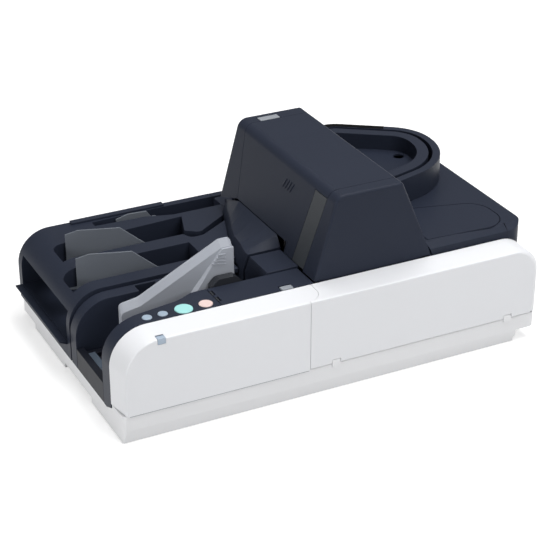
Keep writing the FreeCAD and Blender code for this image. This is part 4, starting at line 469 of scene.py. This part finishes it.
def bevel_all(piece, radius):
    """Bevel every edge of a piece, with the radius in millimetres."""
    only(piece)
    bpy.ops.object.mode_set(mode="EDIT")
    bpy.ops.mesh.select_all(action="SELECT")
    bpy.ops.mesh.bevel(offset=radius / 1000, segments=2, affect="EDGES")
    bpy.ops.object.mode_set(mode="OBJECT")
    smooth(piece)


def move_corners(piece, chosen, shift):
    """Move the corners of a block for which chosen is true, in millimetres."""
    only(piece)
    bpy.ops.object.mode_set(mode="EDIT")
    bpy.ops.mesh.select_all(action="DESELECT")
    bpy.ops.object.mode_set(mode="OBJECT")
    for vertex in piece.data.vertices:
        vertex.select = chosen(*((vertex.co - CORNER) * 1000))
    bpy.ops.object.mode_set(mode="EDIT")
    bpy.ops.mesh.select_mode(type="VERT")
    bpy.ops.transform.translate(value=Vector(shift) / 1000)
    bpy.ops.object.mode_set(mode="OBJECT")


def trim_by(piece, point, normal):
    """Cut a piece by a plane, keep what is behind it, and close the cut."""
    only(piece)
    bpy.ops.object.mode_set(mode="EDIT")
    bpy.ops.mesh.select_all(action="SELECT")
    bpy.ops.mesh.bisect(plane_co=at(*point), plane_no=normal, use_fill=True, clear_outer=True)
    bpy.ops.object.mode_set(mode="OBJECT")


# Pieces, with places and sizes in millimetres unless a line says otherwise
# Grey strip along the seam between the white front covers and the base: painted shade of the
# seam's gap
FRONT_SEAM_SHADE_LOW, FRONT_SEAM_SHADE_HIGH = (9, 1.1, 35.1), (232, 2.2, 35.95)
FRONT_SEAM_SHADE_EDGE = 0.15


class SCANNER_OT_white_covers(bpy.types.Operator):
    """White front covers, base tray and status window"""
    bl_idname = "scanner.white_covers"
    bl_label = "White covers"

    def execute(self, context):
        radius = shape_settings().white_edge_radius
        for node in ("front_cover_left", "front_cover_right", "base_tray"):
            dress(node, radius)
        dress("status_window", radius / 2)
        dress("rubber_feet", radius / 2)
        # Painted shade in the seam under the white covers
        seam_shade = block("front_cover_seam_shade", FRONT_SEAM_SHADE_LOW, FRONT_SEAM_SHADE_HIGH, FRONT_SEAM_SHADE_EDGE)
        settle(seam_shade, BODY_OF["base_tray"], "tab_grey")
        return {"FINISHED"}


HUMP_EDGE_METRES = 0.0012


class SCANNER_OT_panel(bpy.types.Operator):
    """Operation panel with its buttons, and the roller cover beside it"""
    bl_idname = "scanner.panel"
    bl_label = "Operation panel"

    def execute(self, context):
        for node in ("operation_panel", "roller_cover", "roller_cover_latch"):
            dress(node)
        dress("feeder_frame", HUMP_EDGE_METRES, "hump_gloss", segments=3)
        for node in ("small_button_left", "small_button_right", "start_button", "stop_button"):
            dress(node)
        return {"FINISHED"}


# The grip starts as a block, whose corners left of, before or above its middle are moved
GRIP_LOW, GRIP_HIGH = (124, 91.2, 118), (180, 96, 166.5)
GRIP_MIDDLE = (150, 93, 150)
GRIP_SLANT = (41, 0, 0)
GRIP_FLARE = (0, 1.1, 0)
GRIP_HEEL = (7, 0, 0)
GRIP_EDGE = 0.5
RIDGES = 4
RIDGE_LEFT, RIDGE_LEFT_STEP = 152.5, 2.7
RIDGE_FOOT, RIDGE_FOOT_STEP = 149.6, 3.3
RIDGE_RIGHT = 169.5
RIDGE_FRONT, RIDGE_BACK = 90.9, 93.5
RIDGE_HEIGHT = 1.5
RIDGE_DROP, RIDGE_DROP_STEP = 3.0, 0.9
RIDGE_EDGE = 0.35


class SCANNER_OT_feed_lane(bpy.types.Operator):
    """Lane floor, wall, guide bar and press arm"""
    bl_idname = "scanner.feed_lane"
    bl_label = "Feed lane"

    def execute(self, context):
        for node in ("feed_tray", "lane_guide_bar", "lane_wall", "feed_press_arm"):
            dress(node)
        self.grip()
        return {"FINISHED"}

    def grip(self):
        """Flared thumb grip at the arm's tip, with four ridges."""
        left, front, high = GRIP_MIDDLE
        flare = block("arm_grip", GRIP_LOW, GRIP_HIGH)
        move_corners(flare, lambda x, y, z: x < left and z > high, GRIP_SLANT)
        move_corners(flare, lambda x, y, z: y < front and z > high, GRIP_FLARE)
        move_corners(flare, lambda x, y, z: x < left and y < front and z < high, GRIP_HEEL)
        bevel_all(flare, GRIP_EDGE)
        settle(flare, BODY_OF["feed_press_arm"], "grey_arm")
        for index in range(RIDGES):
            foot = RIDGE_FOOT + RIDGE_FOOT_STEP * index
            ridge = block("arm_ridge_%d" % (index + 1),
                          (RIDGE_LEFT + RIDGE_LEFT_STEP * index, RIDGE_FRONT, foot),
                          (RIDGE_RIGHT, RIDGE_BACK, foot + RIDGE_HEIGHT))
            move_corners(ridge, lambda x, y, z: x > RIDGE_RIGHT - 1,
                         (0, 0, RIDGE_DROP_STEP * index - RIDGE_DROP))
            bevel_all(ridge, RIDGE_EDGE)
            settle(ridge, BODY_OF["feed_press_arm"], "grey_arm")


class SCANNER_OT_stacker(bpy.types.Operator):
    """Stacker cover with its pockets, exit ledge and press plates"""
    bl_idname = "scanner.stacker"
    bl_label = "Stacker"

    def execute(self, context):
        for node in ("stacker_cover", "exit_ledge", "press_plate_front",
                     "press_plate_middle", "press_plate_rear"):
            dress(node)
        return {"FINISHED"}


class SCANNER_OT_head(bpy.types.Operator):
    """Entrance block and the head's covers"""
    bl_idname = "scanner.head"
    bl_label = "Head"

    def execute(self, context):
        for node in ("entrance_platform", "entrance_block", "head_front_cover",
                     "head_trim_strip", "head_main_cover", "head_rear_cover", "head_latch"):
            dress(node)
        return {"FINISHED"}


# Thin dark strip along the deck's end: painted shade of the seam's gap
DECK_SEAM_SHADE_LOW, DECK_SEAM_SHADE_HIGH = (519.8, 36.95, 126), (520.3, 47, 143.05)
# The deck's shoulder, above which the seam is cut off
SHOULDER_FOOT, SHOULDER_NORMAL = (520, 36.95, 136.04), (0, -7, 9)
# The strip, whose near-black colour is painted shade, runs along the rim's far side, round its
# back corner and down its slanted side
STRIP_START = (414.5, 339, 177.05)
STRIP_SECTION_METRES = (0.0009, 0.0084, 1)
STRIP_STRAIGHT_METRES = 0.0138
STRIP_CORNER, STRIP_CORNER_STEPS = (428.3, 304, 177), 6
STRIP_SLANT = math.atan2(64, 93.3)
STRIP_SLANTED_METRES = 0.0585


class SCANNER_OT_right_deck(bpy.types.Operator):
    """Right deck with its lid, the U-turn and the cover behind the head"""
    bl_idname = "scanner.right_deck"
    bl_label = "Right deck and U-turn"

    def execute(self, context):
        for node in ("right_deck", "deck_lid", "turn_outer_wall", "turn_inner_guide",
                     "rear_track_cover"):
            dress(node)
        self.rim_strip()
        # Dark strip that paints the shade in the seam at the deck's end
        seam = block("deck_end_seam_shade", DECK_SEAM_SHADE_LOW, DECK_SEAM_SHADE_HIGH)
        trim_by(seam, SHOULDER_FOOT, SHOULDER_NORMAL)
        settle(seam, BODY_OF["right_deck"], "dark_track")
        return {"FINISHED"}

    def rim_strip(self):
        """Black strip on the U-turn's far rim, round its back corner; its near-black colour is
        painted shade.
        """
        slanted = (STRIP_SLANTED_METRES * math.cos(STRIP_SLANT),
                   -STRIP_SLANTED_METRES * math.sin(STRIP_SLANT), 0)
        bpy.ops.object.select_all(action="DESELECT")
        bpy.ops.mesh.primitive_plane_add(size=1, location=at(*STRIP_START),
                                         rotation=(0, math.pi / 2, 0))
        strip = bpy.context.object
        strip.name = "turn_rim_shade_strip"
        strip.scale = STRIP_SECTION_METRES
        bpy.ops.object.transform_apply(location=True, rotation=True, scale=True)
        bpy.ops.object.mode_set(mode="EDIT")
        bpy.ops.mesh.select_all(action="SELECT")
        bpy.ops.mesh.extrude_region_move(
            TRANSFORM_OT_translate={"value": (STRIP_STRAIGHT_METRES, 0, 0)})
        bpy.ops.mesh.spin(steps=STRIP_CORNER_STEPS, angle=STRIP_SLANT,
                          center=at(*STRIP_CORNER), axis=(0, 0, 1))
        bpy.ops.mesh.extrude_region_move(TRANSFORM_OT_translate={"value": slanted})
        bpy.ops.mesh.select_all(action="DESELECT")
        bpy.ops.mesh.select_interior_faces()
        bpy.ops.mesh.delete(type="FACE")
        bpy.ops.mesh.select_all(action="SELECT")
        bpy.ops.mesh.remove_doubles(threshold=MERGE_DISTANCE)
        bpy.ops.mesh.normals_make_consistent(inside=False)
        bpy.ops.object.mode_set(mode="OBJECT")
        soften(strip, shape_settings().metal_edge_radius)
        settle(strip, BODY_OF["turn_outer_wall"], "rim_black")


GLASS_LOW, GLASS_HIGH, GLASS_EDGE = (0, 0, 37.4), (39.2, 1.2, 140.6), 0.2
# Along the track, to either side of it, and up
GLASS_PLACE = (77, 4.6, 89)
SCREWS = 4
SCREW_RADIUS_METRES, SCREW_DEPTH_METRES = 0.0026, 0.0016
# Middle of the circle on which the screws' middles lie, and its radius
SCREW_CENTRE, SCREW_CIRCLE = (335, 205, 74.1), 14.5
FIRST_SCREW_DEGREES = 45


class SCANNER_OT_inside(bpy.types.Operator):
    """Chassis, rollers, drive, scanning modules and boards"""
    bl_idname = "scanner.inside"
    bl_label = "Inside"

    def execute(self, context):
        paint("chassis_plate", "chassis_screws", "panel_board", "arm_pivot_pin", "plate_pins",
              "drive_motor", "motor_pulley", "drive_belts", "track_guides",
              "scan_module_front", "scan_module_rear", "main_board", "ink_cartridge",
              "power_inlet", "data_port", "entry_drive_roller", "exit_drive_roller",
              "entry_pinch_roller", "exit_pinch_roller", "feed_roller", "pickup_roller",
              "retard_roller", "hinge_pins")
        along, aside, up = GLASS_PLACE
        for name, side in (("front", -1), ("rear", 1)):
            glass = block("module_glass_" + name, GLASS_LOW, GLASS_HIGH, GLASS_EDGE,
                          middle=on_track(along, side * aside, up), turn=TRACK_TURN)
            settle(glass, BODY_OF["scan_module_front"], "module_glass")
        self.motor_screws()
        return {"FINISHED"}

    def motor_screws(self):
        """Four screw heads on the motor's end, modelled once and copied."""
        bpy.ops.object.select_all(action="DESELECT")
        bpy.ops.mesh.primitive_cylinder_add(vertices=24, radius=SCREW_RADIUS_METRES,
                                            depth=SCREW_DEPTH_METRES)
        pattern = bpy.context.object
        soften(pattern, shape_settings().metal_edge_radius)
        x, y, z = SCREW_CENTRE
        for index in range(SCREWS):
            angle = math.radians(FIRST_SCREW_DEGREES + 360 / SCREWS * index)
            screw = bpy.data.objects.new("motor_screw_%d" % (index + 1), pattern.data.copy())
            bpy.context.scene.collection.objects.link(screw)
            screw.location = at(x + SCREW_CIRCLE * math.cos(angle),
                                y + SCREW_CIRCLE * math.sin(angle), z)
            settle(screw, BODY_OF["drive_motor"], "steel")
        bpy.data.objects.remove(pattern)


# Stage, in metres and watts
FLOOR_SIZE = 12
# The floor's glow grows from near to far, so that the floor has no grey horizon
GLOW_NEAR, GLOW_FAR = 0.55, 1.05
FADE_START, FADE_END = 0.6, 1.8
WORLD_LEVEL = 0.26
SENSOR_MILLIMETRES = 36
# Name, place, target, size and power of each lamp
LAMPS = (
    ("key_light", (0.45, -0.55, 2.4), (0, 0, 0.05), (1.6, 1.4), 42),
    ("top_light", (0.5, 0.9, 2.2), (0, 0, 0.05), (1.8, 1.2), 16),
    ("front_light", (0.6, -2.2, 1.45), (0, 0, 0.1), (1.8, 1.0), 17.5),
    ("left_light", (-2.3, -0.5, 0.6), (-0.2, 0, 0.05), (1.4, 0.8), 17),
)


def stage_material():
    """Pale floor that stays white to the camera and keeps the shadow."""
    material = bpy.data.materials.new("stage_floor")
    material.use_nodes = True
    tree = material.node_tree
    tree.nodes.clear()
    output = tree.nodes.new("ShaderNodeOutputMaterial")
    diffuse = tree.nodes.new("ShaderNodeBsdfDiffuse")
    diffuse.inputs["Color"].default_value = (*colours().floor, 1.0)
    glow = tree.nodes.new("ShaderNodeEmission")
    path = tree.nodes.new("ShaderNodeLightPath")
    place = tree.nodes.new("ShaderNodeTexCoord")
    reach = tree.nodes.new("ShaderNodeVectorMath")
    reach.operation = "LENGTH"
    fade = tree.nodes.new("ShaderNodeMapRange")
    fade.inputs["From Min"].default_value = FADE_START
    fade.inputs["From Max"].default_value = FADE_END
    fade.inputs["To Min"].default_value = GLOW_NEAR
    fade.inputs["To Max"].default_value = GLOW_FAR
    seen = tree.nodes.new("ShaderNodeMath")
    seen.operation = "MULTIPLY"
    level = tree.nodes.new("ShaderNodeMath")
    level.operation = "MULTIPLY_ADD"
    level.inputs[1].default_value = GLOW_NEAR
    total = tree.nodes.new("ShaderNodeAddShader")
    link_all(tree, (
        (place.outputs["Object"], reach.inputs[0]),
        (reach.outputs["Value"], fade.inputs["Value"]),
        (path.outputs["Is Camera Ray"], seen.inputs[0]),
        (fade.outputs[0], seen.inputs[1]),
        (path.outputs["Is Glossy Ray"], level.inputs[0]),
        (seen.outputs[0], level.inputs[2]),
        (level.outputs[0], glow.inputs["Strength"]),
        (diffuse.outputs[0], total.inputs[0]),
        (glow.outputs[0], total.inputs[1]),
        (total.outputs[0], output.inputs["Surface"]),
    ))
    return material


def add_area_light(name, place, target, size, power):
    bpy.ops.object.light_add(type="AREA", location=place)
    lamp = bpy.context.object
    lamp.name = name
    lamp.data.shape = "RECTANGLE"
    lamp.data.size, lamp.data.size_y = size
    lamp.data.energy = power
    aim = Vector(target) - Vector(place)
    lamp.rotation_mode = "QUATERNION"
    lamp.rotation_quaternion = aim.to_track_quat("-Z", "Y")


class SCANNER_OT_stage(bpy.types.Operator):
    """Floor, soft lights, world and camera"""
    bl_idname = "scanner.stage"
    bl_label = "Stage"

    def execute(self, context):
        bpy.ops.mesh.primitive_plane_add(size=FLOOR_SIZE, location=(0, 0, 0))
        floor = context.object
        floor.name = "stage_floor"
        floor.data.materials.append(stage_material())
        self.light_world(context.scene)
        for lamp in LAMPS:
            add_area_light(*lamp)
        self.place_camera(context)
        context.scene.view_settings.view_transform = "Standard"
        return {"FINISHED"}

    def light_world(self, scene):
        """World that is white to the camera and fills the shadows a little."""
        scene.world = scene.world or bpy.data.worlds.new("studio")
        scene.world.use_nodes = True
        tree = scene.world.node_tree
        tree.nodes.clear()
        output = tree.nodes.new("ShaderNodeOutputWorld")
        shade = tree.nodes.new("ShaderNodeBackground")
        shade.inputs["Color"].default_value = (1.0, 1.0, 1.0, 1.0)
        path = tree.nodes.new("ShaderNodeLightPath")
        level = tree.nodes.new("ShaderNodeMapRange")
        level.inputs["To Min"].default_value = WORLD_LEVEL
        level.inputs["To Max"].default_value = 1.0
        link_all(tree, (
            (path.outputs["Is Camera Ray"], level.inputs["Value"]),
            (level.outputs[0], shade.inputs["Strength"]),
            (shade.outputs[0], output.inputs["Surface"]),
        ))

    def place_camera(self, context):
        """Camera at the photo's place and angle."""
        settings = shape_settings()
        bpy.ops.object.camera_add(location=settings.camera_place)
        camera = context.object
        camera.name = "photo_camera"
        camera.data.lens = settings.lens
        camera.data.sensor_width = SENSOR_MILLIMETRES
        azimuth, elevation = settings.azimuth, settings.elevation
        outward = Vector((math.sin(azimuth) * math.cos(elevation),
                          -math.cos(azimuth) * math.cos(elevation), math.sin(elevation)))
        camera.rotation_mode = "QUATERNION"
        camera.rotation_quaternion = (-outward).to_track_quat("-Z", "Y")
        context.scene.camera = camera


OPERATORS = (
    SCANNER_OT_white_covers,
    SCANNER_OT_panel,
    SCANNER_OT_feed_lane,
    SCANNER_OT_stacker,
    SCANNER_OT_head,
    SCANNER_OT_right_deck,
    SCANNER_OT_inside,
    SCANNER_OT_stage,
)


class SCANNER_PT_sidebar(bpy.types.Panel):
    """Lists the scanner's settings and pieces"""
    bl_label = "Cheque scanner"
    bl_space_type = "VIEW_3D"
    bl_region_type = "UI"
    bl_category = "Scanner"

    def draw(self, context):
        layout = self.layout
        for settings in (context.scene.scanner_shape, context.scene.scanner_colours):
            for name in settings.bl_rna.properties.keys():
                if name not in ("rna_type", "name"):
                    layout.prop(settings, name)
        for operator in OPERATORS:
            layout.operator(operator.bl_idname)


CLASSES = (ScannerShape, ScannerColours, *OPERATORS, SCANNER_PT_sidebar)


def register():
    for cls in CLASSES:
        bpy.utils.register_class(cls)
    bpy.types.Scene.scanner_shape = bpy.props.PointerProperty(type=ScannerShape)
    bpy.types.Scene.scanner_colours = bpy.props.PointerProperty(type=ScannerColours)


def unregister():
    del bpy.types.Scene.scanner_colours
    del bpy.types.Scene.scanner_shape
    for cls in reversed(CLASSES):
        bpy.utils.unregister_class(cls)


def main():
    register()
    for operator in OPERATORS:
        getattr(bpy.ops.scanner, operator.bl_idname.split(".")[1])()


if __name__ == "__main__":
    main()
